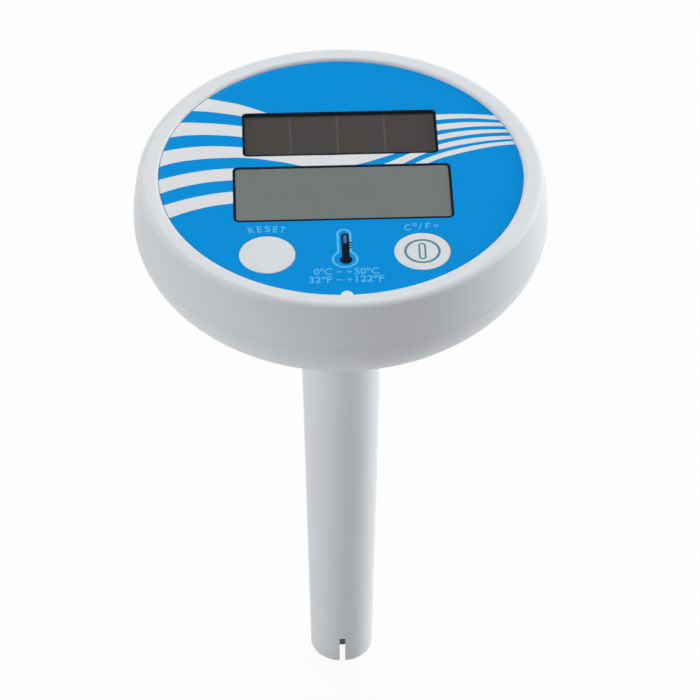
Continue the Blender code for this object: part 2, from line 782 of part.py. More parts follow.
def make_cell(holder_material, cell_material):
    """A coin cell snapped into a round holder under the board."""
    centre = (-CELL_OFFSET, lcd_y, 0)
    cell_radius = CELL_DIAMETER / 2
    holder_top = board_bottom - FIT
    floor = holder_top - HOLDER_WALL
    cell_top = floor - FIT
    cell_bottom = cell_top - CELL_THICKNESS
    inner = cell_radius + FIT
    lip_top = cell_bottom - FIT
    holder = [
        (0, holder_top),
        (inner + HOLDER_WALL, holder_top),
        (inner + HOLDER_WALL, lip_top - HOLDER_WALL),
        (inner - HOLDER_LIP, lip_top - HOLDER_WALL),
        (inner - HOLDER_LIP, lip_top),
        (inner, lip_top),
        (inner, floor),
        (0, floor),
    ]
    turned("cell_holder", holder, holder_material, KEY_STEPS, centre)
    cell = [
        (0, cell_top),
        (cell_radius, cell_top),
        (cell_radius, cell_bottom + CELL_STEP),
        (cell_radius - CELL_STEP, cell_bottom + CELL_STEP),
        (cell_radius - CELL_STEP, cell_bottom),
        (0, cell_bottom),
    ]
    turned("backup_cell", cell, cell_material, KEY_STEPS, centre)


def make_chip(material):
    """The epoxy drop over the controller, under the board."""
    top = board_bottom - FIT
    radius = CHIP_DIAMETER / 2
    angles = [math.pi / 2 * i / DOME_STEPS for i in range(DOME_STEPS)]
    drop = [(radius * math.cos(a), top - CHIP_HEIGHT * math.sin(a)) for a in angles]
    profile = [(0, top), *drop, (0, top - CHIP_HEIGHT)]
    turned("controller_chip", profile, material, SMALL_STEPS, (CHIP_OFFSET, lcd_y, 0))


def make_lead(connector_material, lead_material):
    """The probe lead from its connector under the board, down the stem to the bead."""
    x = CONNECTOR_OFFSET
    y = lcd_y + CONNECTOR_BACK
    top = board_bottom - FIT
    bottom = top - CONNECTOR_HEIGHT
    start = bottom + LEAD_ENTRY - FIT
    connector = bar(
        "lead_connector", CONNECTOR_SIZE, CONNECTOR_SIZE, bottom, top, connector_material, (x, y)
    )
    socket = cylinders(
        "lead_socket_shape", LEAD_DIAMETER / 2 + FIT, bottom - LEAD_ENTRY, bottom + LEAD_ENTRY, [(x, y)]
    )
    cut(connector, socket)
    hang = bottom - 2 * LEAD_DIAMETER
    halfway = (hang + stem_flange_top) / 2
    route = [
        (x, y, start),
        (x, y, hang),
        (LEAD_SWING * x, LEAD_SWING * y, halfway),
        (LEAD_MOUTH * x, LEAD_MOUTH * y, stem_flange_top),
        (0, 0, stem_flange_top - 5 * LEAD_DIAMETER),
        (0, 0, ballast_top),
        (0, 0, lead_end),
    ]
    cable("sensor_lead", smooth_route(route, 3 * LEAD_DIAMETER), LEAD_DIAMETER, lead_material)


# Stem

def make_stem(material):
    """Drafted tube with a flange inside the bowl and a slot across its open end."""
    end_centre = stem_end_radius - STEM_END_RADIUS
    profile = [
        (flange_radius, stem_flange_top),
        (flange_radius, stem_flange_bottom),
        (stem_radius(stem_flange_bottom), stem_flange_bottom),
    ]
    profile += arc(end_centre, stem_end_z + STEM_END_RADIUS, STEM_END_RADIUS, 0, -math.pi / 2, CORNER_STEPS)
    profile += [
        (bore_radius(stem_end_z), stem_end_z),
        (bore_radius(plug_bottom), plug_bottom),
        (bore_radius(stem_flange_top), stem_flange_top),
    ]
    stem = turned("stem_tube", profile, material, STEM_STEPS)
    slot = bar(
        "slot_shape",
        SLOT_WIDTH,
        2 * STEM_END_DIAMETER,
        stem_end_z - SLOT_HEIGHT,
        stem_end_z + SLOT_HEIGHT,
        None,
        (0, 0),
    )
    flange_holes = cylinders(
        "flange_hole_shape",
        STEM_SCREW_RADIUS + FIT / 2,
        stem_flange_bottom - FLANGE_THICKNESS,
        stem_flange_top + FLANGE_THICKNESS,
        stem_screw_centres,
    )
    cut(stem, slot, flange_holes)


def make_stem_screws(material):
    for number, centre in enumerate(stem_screw_centres, 1):
        screw(
            f"stem_screw_{number}",
            STEM_SCREW_RADIUS,
            STEM_SCREW_HEAD_RADIUS,
            STEM_SCREW_HEAD_HEIGHT,
            STEM_SCREW_LENGTH,
            material,
            (*centre, stem_flange_top + FIT),
            head_up=True,
        )


def make_plug(material):
    """Rubber plug wedged in the taper of the bore, with a hole for the probe cap."""
    profile = [
        (bore_radius(plug_top) - FIT, plug_top),
        (bore_radius(plug_bottom) - FIT, plug_bottom),
        (cap_radius + FIT, plug_bottom),
        (cap_radius + FIT, plug_top),
    ]
    turned("end_plug", profile, material, STEM_STEPS)


def make_ballast(material):
    """Cast weight that follows the bore, relieved underneath for the rim of the probe cap."""
    relief_radius = cap_rim_radius + FIT
    relief_top = cap_rim_top + FIT
    profile = [
        (bore_radius(ballast_top) - FIT, ballast_top),
        (bore_radius(ballast_bottom) - FIT, ballast_bottom),
        (relief_radius, ballast_bottom),
        (relief_radius, relief_top),
        (ballast_bore, relief_top),
        (ballast_bore, ballast_top),
    ]
    turned("ballast_weight", profile, material, STEM_STEPS)


def make_probe(cap_material, bead_material):
    """Metal cap through the plug, with the thermistor bead at its closed end."""
    inner = cap_radius - SENSOR_CAP_WALL
    profile = [
        (cap_rim_radius, cap_rim_top),
        (cap_rim_radius, cap_rim_bottom),
        (cap_radius, cap_rim_bottom),
        (cap_radius, cap_tip + SENSOR_CAP_WALL),
        (cap_radius - SENSOR_CAP_WALL, cap_tip),
    ]
    outside = [(0, cap_rim_top), *profile, (0, cap_tip)]
    cap = turned("sensor_cap", outside, cap_material, SMALL_STEPS)
    cut(cap, cylinders("cap_bore_shape", inner, cap_tip + SENSOR_CAP_WALL, ballast_top, [(0, 0)]))
    shape = bmesh.new()
    bmesh.ops.create_uvsphere(shape, u_segments=BEAD_SIDES, v_segments=BEAD_RINGS, radius=BEAD_DIAMETER / 2)
    place("thermistor_bead", shape, bead_material, (0, 0, bead_z))


def clear_scene():
    for old in list(bpy.data.objects):
        bpy.data.objects.remove(old)


def build():
    clear_scene()
    white = finish("white_abs", (0.80, 0.81, 0.81), 0.28)
    key_white = finish("key_white", (0.78, 0.80, 0.79), 0.45)
    blue = finish("blue_film", (0.006, 0.27, 0.70), 0.35)
    clear = finish("clear_pane", (0.9, 0.9, 0.9), 0.05, transmission=1.0)
    black = finish("black_rubber", (0.012, 0.016, 0.02), 0.6)
    grey = finish("grey_rubber", (0.09, 0.09, 0.09), 0.6)
    lcd = finish("lcd_glass", (0.18, 0.20, 0.19), 0.2)
    cells = finish("solar_cells", (0.07, 0.06, 0.055), 0.2)
    board = finish("green_board", (0.02, 0.16, 0.05), 0.45)
    dark = finish("dark_plastic", (0.03, 0.03, 0.03), 0.5)
    epoxy = finish("black_epoxy", (0.01, 0.01, 0.01), 0.25)
    steel = finish("steel", (0.55, 0.55, 0.55), 0.3, metallic=1.0)
    foam = finish("grey_foam", (0.2, 0.2, 0.2), 0.9)
    lead_grey = finish("grey_lead", (0.25, 0.25, 0.26), 0.5)
    wire_red = finish("red_wire", (0.5, 0.02, 0.02), 0.45)
    bead = finish("bead_epoxy", (0.02, 0.02, 0.025), 0.3)

    make_top_housing(white)
    make_lower_bowl(white)
    seal_r = tongue_radius - (HOUSING_SEAL_CORD - FIT) / 2
    make_seal("housing_seal", HOUSING_SEAL_CORD, seal_r, TONGUE_HEIGHT / 2, SHELL_STEPS, black)
    make_housing_screws(steel)

    make_film(blue)
    make_window("lcd", LCD_WINDOW_WIDTH, LCD_WINDOW_HEIGHT, LCD_WINDOW_CORNER, lcd_y, clear, black)
    make_window(
        "solar", SOLAR_WINDOW_WIDTH, SOLAR_WINDOW_HEIGHT, SOLAR_WINDOW_CORNER, solar_y, clear, black
    )
    for name in key_centres:
        make_key(name, key_white)
        make_switch(name, dark, steel)

    make_lcd(lcd, dark, foam)
    make_solar(cells, wire_red)
    make_board(board)
    make_board_screws(steel)
    make_cell(dark, steel)
    make_chip(epoxy)
    make_lead(key_white, lead_grey)

    make_stem(white)
    seal_r = (seal_groove_inner + seal_groove_outer) / 2
    seal_z = pad_top - (STEM_SEAL_CORD - FIT) / 2
    make_seal("stem_seal", STEM_SEAL_CORD, seal_r, seal_z, STEM_STEPS, black)
    make_stem_screws(steel)
    make_plug(grey)
    make_ballast(steel)
    make_probe(steel, bead)


build()
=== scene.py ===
"""Looks of the floating pool thermometer: moulded shells, printed face, windows, keys and stem.

Metres in the part's own frame: +Z up, -Y to the front, origin on the axis at the water line.
"""

import json
import math
from collections import namedtuple

import bmesh
import bpy
from mathutils import Matrix, Quaternion, Vector


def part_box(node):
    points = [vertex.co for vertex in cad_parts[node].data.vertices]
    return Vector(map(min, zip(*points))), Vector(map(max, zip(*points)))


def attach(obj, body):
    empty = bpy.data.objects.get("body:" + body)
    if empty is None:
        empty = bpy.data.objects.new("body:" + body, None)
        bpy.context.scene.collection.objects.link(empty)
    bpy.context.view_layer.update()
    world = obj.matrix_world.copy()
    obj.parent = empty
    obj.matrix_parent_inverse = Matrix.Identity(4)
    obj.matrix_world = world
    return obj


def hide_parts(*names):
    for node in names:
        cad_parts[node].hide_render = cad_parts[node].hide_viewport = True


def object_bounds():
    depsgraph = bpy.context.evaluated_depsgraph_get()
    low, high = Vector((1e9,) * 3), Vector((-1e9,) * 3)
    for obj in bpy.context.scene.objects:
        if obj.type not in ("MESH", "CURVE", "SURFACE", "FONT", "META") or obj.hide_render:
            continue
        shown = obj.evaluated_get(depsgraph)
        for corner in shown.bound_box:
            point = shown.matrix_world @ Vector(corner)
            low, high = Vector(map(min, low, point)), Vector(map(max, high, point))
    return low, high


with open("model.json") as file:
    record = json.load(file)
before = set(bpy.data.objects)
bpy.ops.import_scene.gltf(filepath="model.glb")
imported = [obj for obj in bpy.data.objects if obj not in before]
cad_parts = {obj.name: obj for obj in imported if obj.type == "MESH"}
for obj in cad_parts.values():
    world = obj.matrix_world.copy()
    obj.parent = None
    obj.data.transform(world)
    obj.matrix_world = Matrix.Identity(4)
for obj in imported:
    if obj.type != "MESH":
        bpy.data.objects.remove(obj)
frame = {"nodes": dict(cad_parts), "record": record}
cad_low, cad_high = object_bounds()

HEAD = "float_body"

# Clearances
FIT = 0.0003
HAIRLINE = 0.00002
KEY_GAP = 0.00005

# Head shells
SIDE_ARC_RADIUS = 0.0550
CREST_RADIUS = 0.0020
RIM_LAND = 0.00348
RIM_EDGE_RADIUS = 0.0012
SHELL_WALL = 0.0024
DECK_THICKNESS = 0.0030
BOWL_DEPTH = 0.0270
TONGUE_WALL = 0.0024
TONGUE_GROOVE = 0.0011
SEAM_GAP = 0.00004
SEAM_EDGE = 0.00006
TAB_RADIUS = 0.00155
TAB_REACH = 0.0014
TAB_DROP = 0.0003
TAB_EDGE = 0.0003
SOLAR_LEDGE = 0.0015
POCKET_CORNER = 0.0006
BOARD_PILOT = 0.0011
BOARD_BOSS = 0.0026
HOUSING_PILOT = 0.0016
HOUSING_BOSS = 0.0037
COLUMN_RADIUS = 0.0045
COLUMN_TOP = -0.0040
COLUMN_SEAT = -0.0090
COUNTERBORE = 0.0031
PAD_MARGIN = 0.0015

# Face
INK = 0.00002
FILM_EDGE = 0.00004
LCD_CORNER = 0.0016
SOLAR_CORNER = 0.0013
GASKET_EDGE = 0.00008
LCD_PANE_THICKNESS = 0.00015
WINDOW_SHIFT = 0.00027
SOLAR_PITCH = 0.0125
SOLAR_SHIFT = -0.00035
SOLAR_LINE_WIDTH = 0.00045
SOLAR_LINE_REACH = 1.5 * SOLAR_PITCH

# Keys
KEY_RADIUS = 0.0073
KEY_EDGE = 0.00025
KEY_TOP = 0.0014
KEY_WALL = 0.0012
KEY_POST = 0.0025
KEY_FLANGE = 0.0010
UNIT_RING_RADIUS = 0.0047
UNIT_RING_LINE = 0.00068
UNIT_PILL_WIDTH = 0.0020
UNIT_PILL_HEIGHT = 0.0064
UNIT_PILL_LINE = 0.0005

# Thermometer mark
MARK_X = -0.00003
MARK_TOP = -0.02190
MARK_BULB_Y = -0.03377
MARK_TUBE = 0.00193
MARK_BULB = 0.00342
MARK_LINE = 0.0006
GAUGE_X = 0.00022
GAUGE_TOP = -0.02365
GAUGE_BULB_Y = -0.03400
GAUGE_TUBE = 0.00098
GAUGE_BULB = 0.00160
HOLLOW_HALF = 0.00046
HOLLOW_TOP = -0.02435
HOLLOW_END = -0.02755
TICK_HEIGHTS = (-0.02740, -0.02840, -0.02940)
TICK_LENGTH = 0.00080
TICK_WIDTH = 0.00045
TICK_CORNER = TICK_WIDTH / 4

# Legends
LEGEND_ARC = 0.0190
LEGEND_RISE = 0.0100
LEGEND_HEIGHT = 0.0024
LEGEND_WEIGHT = 0.015
DEGREE_HEIGHT = 0.0012
RANGE_HEIGHT = 0.0025
PLUS_HEIGHT = 0.0013
TILDE_HEIGHT = 0.0006
LETTER_DEPTH = 1.0

# Stem
STEM_TOP_RADIUS = 0.01113
STEM_END_RADIUS = 0.0088
STEM_WALL = 0.0018
STEM_EDGE = 0.0008
STEM_INNER_EDGE = 0.0003
STEM_FLANGE = 0.0024
STEM_SCREW_HOLE = 0.00115
SLOT_WIDTH = 0.00163
SLOT_HEIGHT = 0.0095
SEAL_LAND = 0.0008
SEAL_GROOVE_WIDTH = 0.0021
SEAL_GROOVE_DEPTH = 0.0015
CAP_WALL = 0.0005
CAP_RIM = 0.0008
CAP_RIM_WIDTH = 0.0009
PLUG_LIFT = 0.0005

# Screws
HOUSING_SHANK = 0.0015
HOUSING_HEAD = 0.0020
RECESS_LENGTH = 0.0032
RECESS_WIDTH = 0.0007
RECESS_DEPTH = 0.0012

# Smoothness
SHELL_STEPS = 192
STEM_STEPS = 96
KEY_STEPS = 96
SMALL_STEPS = 48
CORNER_STEPS = 10
FINE_STEPS = 16
SEAM_STEPS = 4
EDGE_STEPS = 6
ROUND_STEPS = 8
BEVEL_STEPS = 1
BOWL_STEPS = 48
FLOW_STEPS = 16
LETTER_STEPS = 6
MERGE_DISTANCE = 1e-7
ROUND_SHARP = math.radians(32)
FLAT_SHARP = math.radians(12)
QUARTER_TURN = math.pi / 2

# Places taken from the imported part
float_radius = cad_high.x
rim_top = cad_high.z
stem_end = cad_low.z
film_low, film_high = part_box("face_film")
face = film_high.z
film_bottom = film_low.z
film_radius = film_high.x
deck_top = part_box("lcd_panel")[1].z
deck_bottom = deck_top - DECK_THICKNESS
foot_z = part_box("lower_bowl")[0].z
tongue_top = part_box("lower_bowl")[1].z
flange_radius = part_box("stem_tube")[1].x
flange_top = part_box("stem_tube")[1].z
flange_bottom = flange_top - STEM_FLANGE
pad_top = flange_bottom - FIT

# Rim, tangent inside the arc of the side wall
side_centre = float_radius - SIDE_ARC_RADIUS
crest_z = rim_top - CREST_RADIUS
crest_r = side_centre + math.sqrt((SIDE_ARC_RADIUS - CREST_RADIUS) ** 2 - crest_z**2)
crest_end = math.atan2(crest_z, crest_r - side_centre)
recess_radius = crest_r - RIM_LAND
tab_y = -(recess_radius - TAB_REACH + TAB_RADIUS)
seam_edge_r = float_radius - SEAM_EDGE
wall_radius = float_radius - SHELL_WALL
tongue_radius = wall_radius - FIT
cavity_radius = tongue_radius - TONGUE_WALL


def middle(node):
    """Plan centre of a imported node."""
    low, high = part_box(node)
    return (low.x + high.x) / 2, (low.y + high.y) / 2


def extent(node):
    """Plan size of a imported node."""
    low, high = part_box(node)
    return high.x - low.x, high.y - low.y


def stem_radius(z):
    """Outer radius of the drafted stem at a height."""
    share = (z - stem_end) / (foot_z - stem_end)
    return STEM_END_RADIUS + share * (STEM_TOP_RADIUS - STEM_END_RADIUS)


key_centres = {name: middle(f"{name}_key") for name in ("reset", "unit")}
board_screw_centres = [middle(f"board_screw_{n}") for n in (1, 2, 3, 4)]
housing_screw_centres = [middle(f"housing_screw_{n}") for n in (1, 2, 3, 4)]
stem_screw_centres = [middle(f"stem_screw_{n}") for n in (1, 2, 3)]
stem_hole = stem_radius(pad_top) + FIT


# Shaping

def arc(centre_r, centre_z, radius, start, end, steps=FINE_STEPS):
    """Points of an arc, angles from the outward direction."""
    angles = [start + (end - start) * i / steps for i in range(steps + 1)]
    return [(centre_r + radius * math.cos(a), centre_z + radius * math.sin(a)) for a in angles]


def circle_loop(radius, centre=(0, 0), steps=SHELL_STEPS):
    """Points of a full circle."""
    return arc(*centre, radius, 0, 2 * math.pi, steps)[:-1]


def rounded_loop(width, height, corner, centre):
    """Rectangle with round corners."""
    loop = []
    for quarter, (side, end) in enumerate(((1, 1), (-1, 1), (-1, -1), (1, -1))):
        x = centre[0] + side * (width / 2 - corner)
        y = centre[1] + end * (height / 2 - corner)
        turn = quarter * QUARTER_TURN
        loop += arc(x, y, corner, turn, turn + QUARTER_TURN, CORNER_STEPS)
    return loop


def bulb_loop(x, tube_top, bulb_y, tube, bulb):
    """Outline of a thermometer: a round-topped tube that runs into a round bulb."""
    neck = math.acos(tube / bulb)
    loop = arc(x, tube_top - tube, tube, 0, math.pi)
    return loop + arc(x, bulb_y, bulb, math.pi - neck, 2 * math.pi + neck, SMALL_STEPS)


def mesh_object(name, shape):
    """Makes a shape a piece of the scene."""
    mesh = bpy.data.meshes.new(name)
    shape.to_mesh(mesh)
    shape.free()
    made = bpy.data.objects.new(name, mesh)
    bpy.context.scene.collection.objects.link(made)
    return made


def lathe(profile, steps=SHELL_STEPS, centre=(0, 0)):
    """Spins (radius, height) points about an upright axis; a profile off the axis is closed."""
    shape = bmesh.new()
    points = [shape.verts.new((radius, 0, z)) for radius, z in profile]
    edges = [shape.edges.new(pair) for pair in zip(points, points[1:])]
    if profile[0][0] > 0:
        edges.append(shape.edges.new((points[-1], points[0])))
    bmesh.ops.spin(
        shape,
        geom=points + edges,
        cent=(0, 0, 0),
        axis=(0, 0, 1),
        angle=2 * math.pi,
        steps=steps,
        use_merge=True,
    )
    bmesh.ops.remove_doubles(shape, verts=shape.verts, dist=MERGE_DISTANCE)
    bmesh.ops.recalc_face_normals(shape, faces=shape.faces)
    bmesh.ops.translate(shape, verts=shape.verts, vec=(*centre, 0))
    return shape


def pillars(radius, bottom, top, centres, steps=SMALL_STEPS):
    """Round pillars of one size at several centres."""
    shape = bmesh.new()
    for centre in centres:
        bmesh.ops.create_cone(
            shape,
            cap_ends=True,
            segments=steps,
            radius1=radius,
            radius2=radius,
            depth=top - bottom,
            matrix=Matrix.Translation((*centre, (top + bottom) / 2)),
        )
    return shape


def block(size_x, size_y, bottom, top, centre=(0, 0)):
    """Upright box between two heights."""
    shape = bmesh.new()
    bmesh.ops.create_cube(shape, size=1.0)
    bmesh.ops.scale(shape, verts=shape.verts, vec=(size_x, size_y, top - bottom))
    bmesh.ops.translate(shape, verts=shape.verts, vec=(*centre, (top + bottom) / 2))
    return shape


def solid_of(curve):
    """Closed mesh of a filled flat curve or a text."""
    holder = bpy.data.objects.new("drawing", curve)
    bpy.context.scene.collection.objects.link(holder)
    graph = bpy.context.evaluated_depsgraph_get()
    mesh = bpy.data.meshes.new_from_object(holder.evaluated_get(graph))
    shape = bmesh.new()
    shape.from_mesh(mesh)
    bpy.data.meshes.remove(mesh)
    bpy.data.objects.remove(holder)
    bpy.data.curves.remove(curve)
    bmesh.ops.remove_doubles(shape, verts=shape.verts, dist=MERGE_DISTANCE)
    bmesh.ops.recalc_face_normals(shape, faces=shape.faces)
    return shape


def flat_curve(bottom, top, edge=0.0):
    """A curve that fills its outlines and gives them a thickness, with rounded rims."""
    curve = bpy.data.curves.new("outline", "CURVE")
    curve.dimensions = "2D"
    curve.fill_mode = "BOTH"
    curve.resolution_u = FLOW_STEPS
    curve.extrude = (top - bottom) / 2 - edge
    curve.bevel_depth = edge
    curve.bevel_resolution = BEVEL_STEPS
    curve.offset = -edge
    return curve


def flat_solid(loops, bottom, top, edge=0.0):
    """Plate over a flat outline; the outlines after the first are holes in it."""
    curve = flat_curve(bottom, top, edge)
    for loop in [loops[0], *(hole[::-1] for hole in loops[1:])]:
        line = curve.splines.new("POLY")
        line.points.add(len(loop) - 1)
        for point, (x, y) in zip(line.points, loop):
            point.co = (x, y, 0, 1)
        line.use_cyclic_u = True
    shape = solid_of(curve)
    bmesh.ops.translate(shape, verts=shape.verts, vec=(0, 0, (top + bottom) / 2))
    return shape


def combine(target, shape, operation="DIFFERENCE"):
    """Cuts or joins a mesh with a tool shape, and keeps the plain result."""
    tool = mesh_object("tool", shape)
    modifier = target.modifiers.new("tool", "BOOLEAN")
    modifier.operation = operation
    modifier.solver = "EXACT"
    modifier.object = tool
    graph = bpy.context.evaluated_depsgraph_get()
    made = bpy.data.meshes.new_from_object(target.evaluated_get(graph))
    target.modifiers.clear()
    worn = target.data
    target.data = made
    made.name = target.name
    bpy.data.meshes.remove(worn)
    tool_mesh = tool.data
    bpy.data.objects.remove(tool)
    bpy.data.meshes.remove(tool_mesh)


def tool_from(piece):
    """Takes a finished piece back as a tool shape."""
    shape = bmesh.new()
    shape.from_mesh(piece.data)
    bpy.data.objects.remove(piece)
    return shape


def dress(piece, material, body=HEAD, stands_for=(), sharp=ROUND_SHARP):
    """Gives a piece its shading, material and body, and hides the imported parts it stands for."""
    mesh = piece.data
    mesh.materials.clear()
    mesh.materials.append(material)
    mesh.polygons.foreach_set("material_index", [0] * len(mesh.polygons))
    mesh.shade_smooth()
    mesh.set_sharp_from_angle(angle=sharp)
    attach(piece, body)
    if stands_for:
        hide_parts(*stands_for)
    return piece


# Finishes

PLASTIC_GLOSS = 0.5
SHELL_GLOSS = 0.22
PRINT_GLOSS = 0.01
WINDOW_GLOSS = 0.05
NOISE_DETAIL = 3.0

# Colour sockets of the mix node
MIX_FIRST = 6
MIX_SECOND = 7
MIX_RESULT = 2

# Textures: scales in features per metre, spreads in colour and roughness, depth in metres
Texture = namedtuple(
    "Texture", "cloud_scale cloud_spread gloss_scale gloss_spread grain_scale grain_depth"
)
MOULDED = Texture(35.0, 0.012, 120.0, 0.04, 1400.0, 0.000004)
DARK_MOULDED = MOULDED._replace(cloud_spread=0.15)
POTTED = MOULDED._replace(cloud_spread=0.20)
PRINTED = Texture(260.0, 0.02, 500.0, 0.03, 5200.0, 0.000002)
RUBBER = Texture(900.0, 0.15, 1500.0, 0.06, 6000.0, 0.000006)
PLATED = Texture(300.0, 0.08, 900.0, 0.08, 2500.0, 0.000003)
POLARISER = Texture(60.0, 0.03, 400.0, 0.04, 7000.0, 0.000001)

# Clear panes
PANE_COLOUR = (0.030, 0.035, 0.035)
PANE_ROUGHNESS = 0.06
PANE_HAZE = 0.06
PANE_GLOSS_SCALE = 300.0
PANE_GLOSS_SPREAD = 0.02
PANE_GRAIN_SCALE = 700.0
PANE_GRAIN_DEPTH = 0.000001

# Solar cells
CELL_ROUGHNESS = 0.25
CELL_WARM = (1.08, 0.98, 0.97)
CELL_COOL = (0.93, 1.02, 1.06)
CELL_CLOUD_SCALE = 170.0
CELL_GLOSS_SCALE = 300.0
CELL_GLOSS_SPREAD = 0.05

# Circuit board
BOARD_ROUGHNESS = 0.4
TRACK_SCALE = 180.0
TRACK_TONE = 1.6
BOARD_GLOSS_SCALE = 500.0
BOARD_GLOSS_SPREAD = 0.08


def add_node(tree, kind, **values):
    """A node with its settings, or its inputs where the name is an input's."""
    node = tree.nodes.new(kind)
    for name, value in values.items():
        if hasattr(node, name):
            setattr(node, name, value)
        else:
            node.inputs[name.replace("_", " ").title()].default_value = value
    return node


def new_finish(name, colour, roughness, metallic=0.0, gloss=PLASTIC_GLOSS):
    """A plain material, with its nodes and its shader."""
    material = bpy.data.materials.new(name)
    material.use_nodes = True
    material.diffuse_color = (*colour, 1.0)
    shader = material.node_tree.nodes["Principled BSDF"]
    shader.inputs["Base Color"].default_value = (*colour, 1.0)
    shader.inputs["Roughness"].default_value = roughness
    shader.inputs["Metallic"].default_value = metallic
    shader.inputs["Specular IOR Level"].default_value = gloss
    return material, material.node_tree, shader


def noise(tree, scale):
    """Noise in the piece's own frame, its scale in features per metre."""
    place = add_node(tree, "ShaderNodeTexCoord")
    made = add_node(tree, "ShaderNodeTexNoise", scale=scale, detail=NOISE_DETAIL)
    tree.links.new(place.outputs["Object"], made.inputs["Vector"])
    return made.outputs["Fac"]


def blend(tree, factor, first, second):
    """Mixes two colours, each a constant or another node's output."""
    mix = add_node(tree, "ShaderNodeMix", data_type="RGBA")
    tree.links.new(factor, mix.inputs["Factor"])
    for socket, value in ((mix.inputs[MIX_FIRST], first), (mix.inputs[MIX_SECOND], second)):
        if isinstance(value, tuple):
            socket.default_value = (*value, 1.0)
        else:
            tree.links.new(value, socket)
    return mix.outputs[MIX_RESULT]


def tone(colour, factor):
    """A colour made lighter or darker."""
    return tuple(min(1.0, channel * factor) for channel in colour)


def mottle(tree, shader, colour, scale, spread):
    """Cloudy shift of the colour, as pigment and moulding flow give it."""
    tinted = blend(tree, noise(tree, scale), tone(colour, 1 - spread), tone(colour, 1 + spread))
    tree.links.new(tinted, shader.inputs["Base Color"])


def uneven_gloss(tree, shader, roughness, scale, spread):
    """Cloudy shift of the roughness."""
    span = add_node(tree, "ShaderNodeMapRange")
    span.inputs["To Min"].default_value = roughness - spread
    span.inputs["To Max"].default_value = roughness + spread
    tree.links.new(noise(tree, scale), span.inputs["Value"])
    tree.links.new(span.outputs["Result"], shader.inputs["Roughness"])


def grain(tree, shader, scale, depth):
    """Fine relief in the surface."""
    bump = add_node(tree, "ShaderNodeBump", strength=1.0, distance=depth)
    tree.links.new(noise(tree, scale), bump.inputs["Height"])
    tree.links.new(bump.outputs["Normal"], shader.inputs["Normal"])


def textured(name, colour, roughness, texture, gloss=PLASTIC_GLOSS, metallic=0.0):
    """A finish with faint clouds in its colour, uneven gloss and a fine grain."""
    material, tree, shader = new_finish(name, colour, roughness, metallic, gloss)
    mottle(tree, shader, colour, texture.cloud_scale, texture.cloud_spread)
    uneven_gloss(tree, shader, roughness, texture.gloss_scale, texture.gloss_spread)
    grain(tree, shader, texture.grain_scale, texture.grain_depth)
    return material


def clear(name):
    """Thin clear pane with a low-glare coat, hardly more than its surface."""
    material, tree, shader = new_finish(name, PANE_COLOUR, PANE_ROUGHNESS)
    shader.inputs["Alpha"].default_value = PANE_HAZE
    uneven_gloss(tree, shader, PANE_ROUGHNESS, PANE_GLOSS_SCALE, PANE_GLOSS_SPREAD)
    grain(tree, shader, PANE_GRAIN_SCALE, PANE_GRAIN_DEPTH)
    return material


def solar_cells(name, colour, line_colour):
    """Dark cells with a faint change of hue, parted by thin lighter lines."""
    material, tree, shader = new_finish(name, colour, CELL_ROUGHNESS, gloss=WINDOW_GLOSS)
    place = add_node(tree, "ShaderNodeTexCoord")
    parts = add_node(tree, "ShaderNodeSeparateXYZ")
    tree.links.new(place.outputs["Object"], parts.inputs["Vector"])
    shifted = add_node(tree, "ShaderNodeMath", operation="SUBTRACT")
    shifted.inputs[1].default_value = SOLAR_SHIFT
    nearest = add_node(tree, "ShaderNodeMath", operation="PINGPONG")
    nearest.inputs[1].default_value = SOLAR_PITCH / 2
    line = add_node(tree, "ShaderNodeMath", operation="LESS_THAN")
    line.inputs[1].default_value = SOLAR_LINE_WIDTH / 2
    aside = add_node(tree, "ShaderNodeMath", operation="ABSOLUTE")
    lined = add_node(tree, "ShaderNodeMath", operation="LESS_THAN")
    lined.inputs[1].default_value = SOLAR_LINE_REACH
    drawn = add_node(tree, "ShaderNodeMath", operation="MULTIPLY")
    tree.links.new(parts.outputs["X"], shifted.inputs[0])
    tree.links.new(shifted.outputs[0], nearest.inputs[0])
    tree.links.new(nearest.outputs[0], line.inputs[0])
    tree.links.new(shifted.outputs[0], aside.inputs[0])
    tree.links.new(aside.outputs[0], lined.inputs[0])
    tree.links.new(line.outputs[0], drawn.inputs[0])
    tree.links.new(lined.outputs[0], drawn.inputs[1])
    warm = tuple(channel * factor for channel, factor in zip(colour, CELL_WARM))
    cool = tuple(channel * factor for channel, factor in zip(colour, CELL_COOL))
    cells = blend(tree, noise(tree, CELL_CLOUD_SCALE), warm, cool)
    tree.links.new(blend(tree, drawn.outputs[0], cells, line_colour), shader.inputs["Base Color"])
    uneven_gloss(tree, shader, CELL_ROUGHNESS, CELL_GLOSS_SCALE, CELL_GLOSS_SPREAD)
    return material


def circuit_board(name, colour):
    """Solder mask over faint copper tracks."""
    material, tree, shader = new_finish(name, colour, BOARD_ROUGHNESS)
    place = add_node(tree, "ShaderNodeTexCoord")
    tracks = add_node(tree, "ShaderNodeTexBrick", scale=TRACK_SCALE)
    tree.links.new(place.outputs["Object"], tracks.inputs["Vector"])
    tinted = blend(tree, tracks.outputs["Fac"], colour, tone(colour, TRACK_TONE))
    tree.links.new(tinted, shader.inputs["Base Color"])
    uneven_gloss(tree, shader, BOARD_ROUGHNESS, BOARD_GLOSS_SCALE, BOARD_GLOSS_SPREAD)
    return material


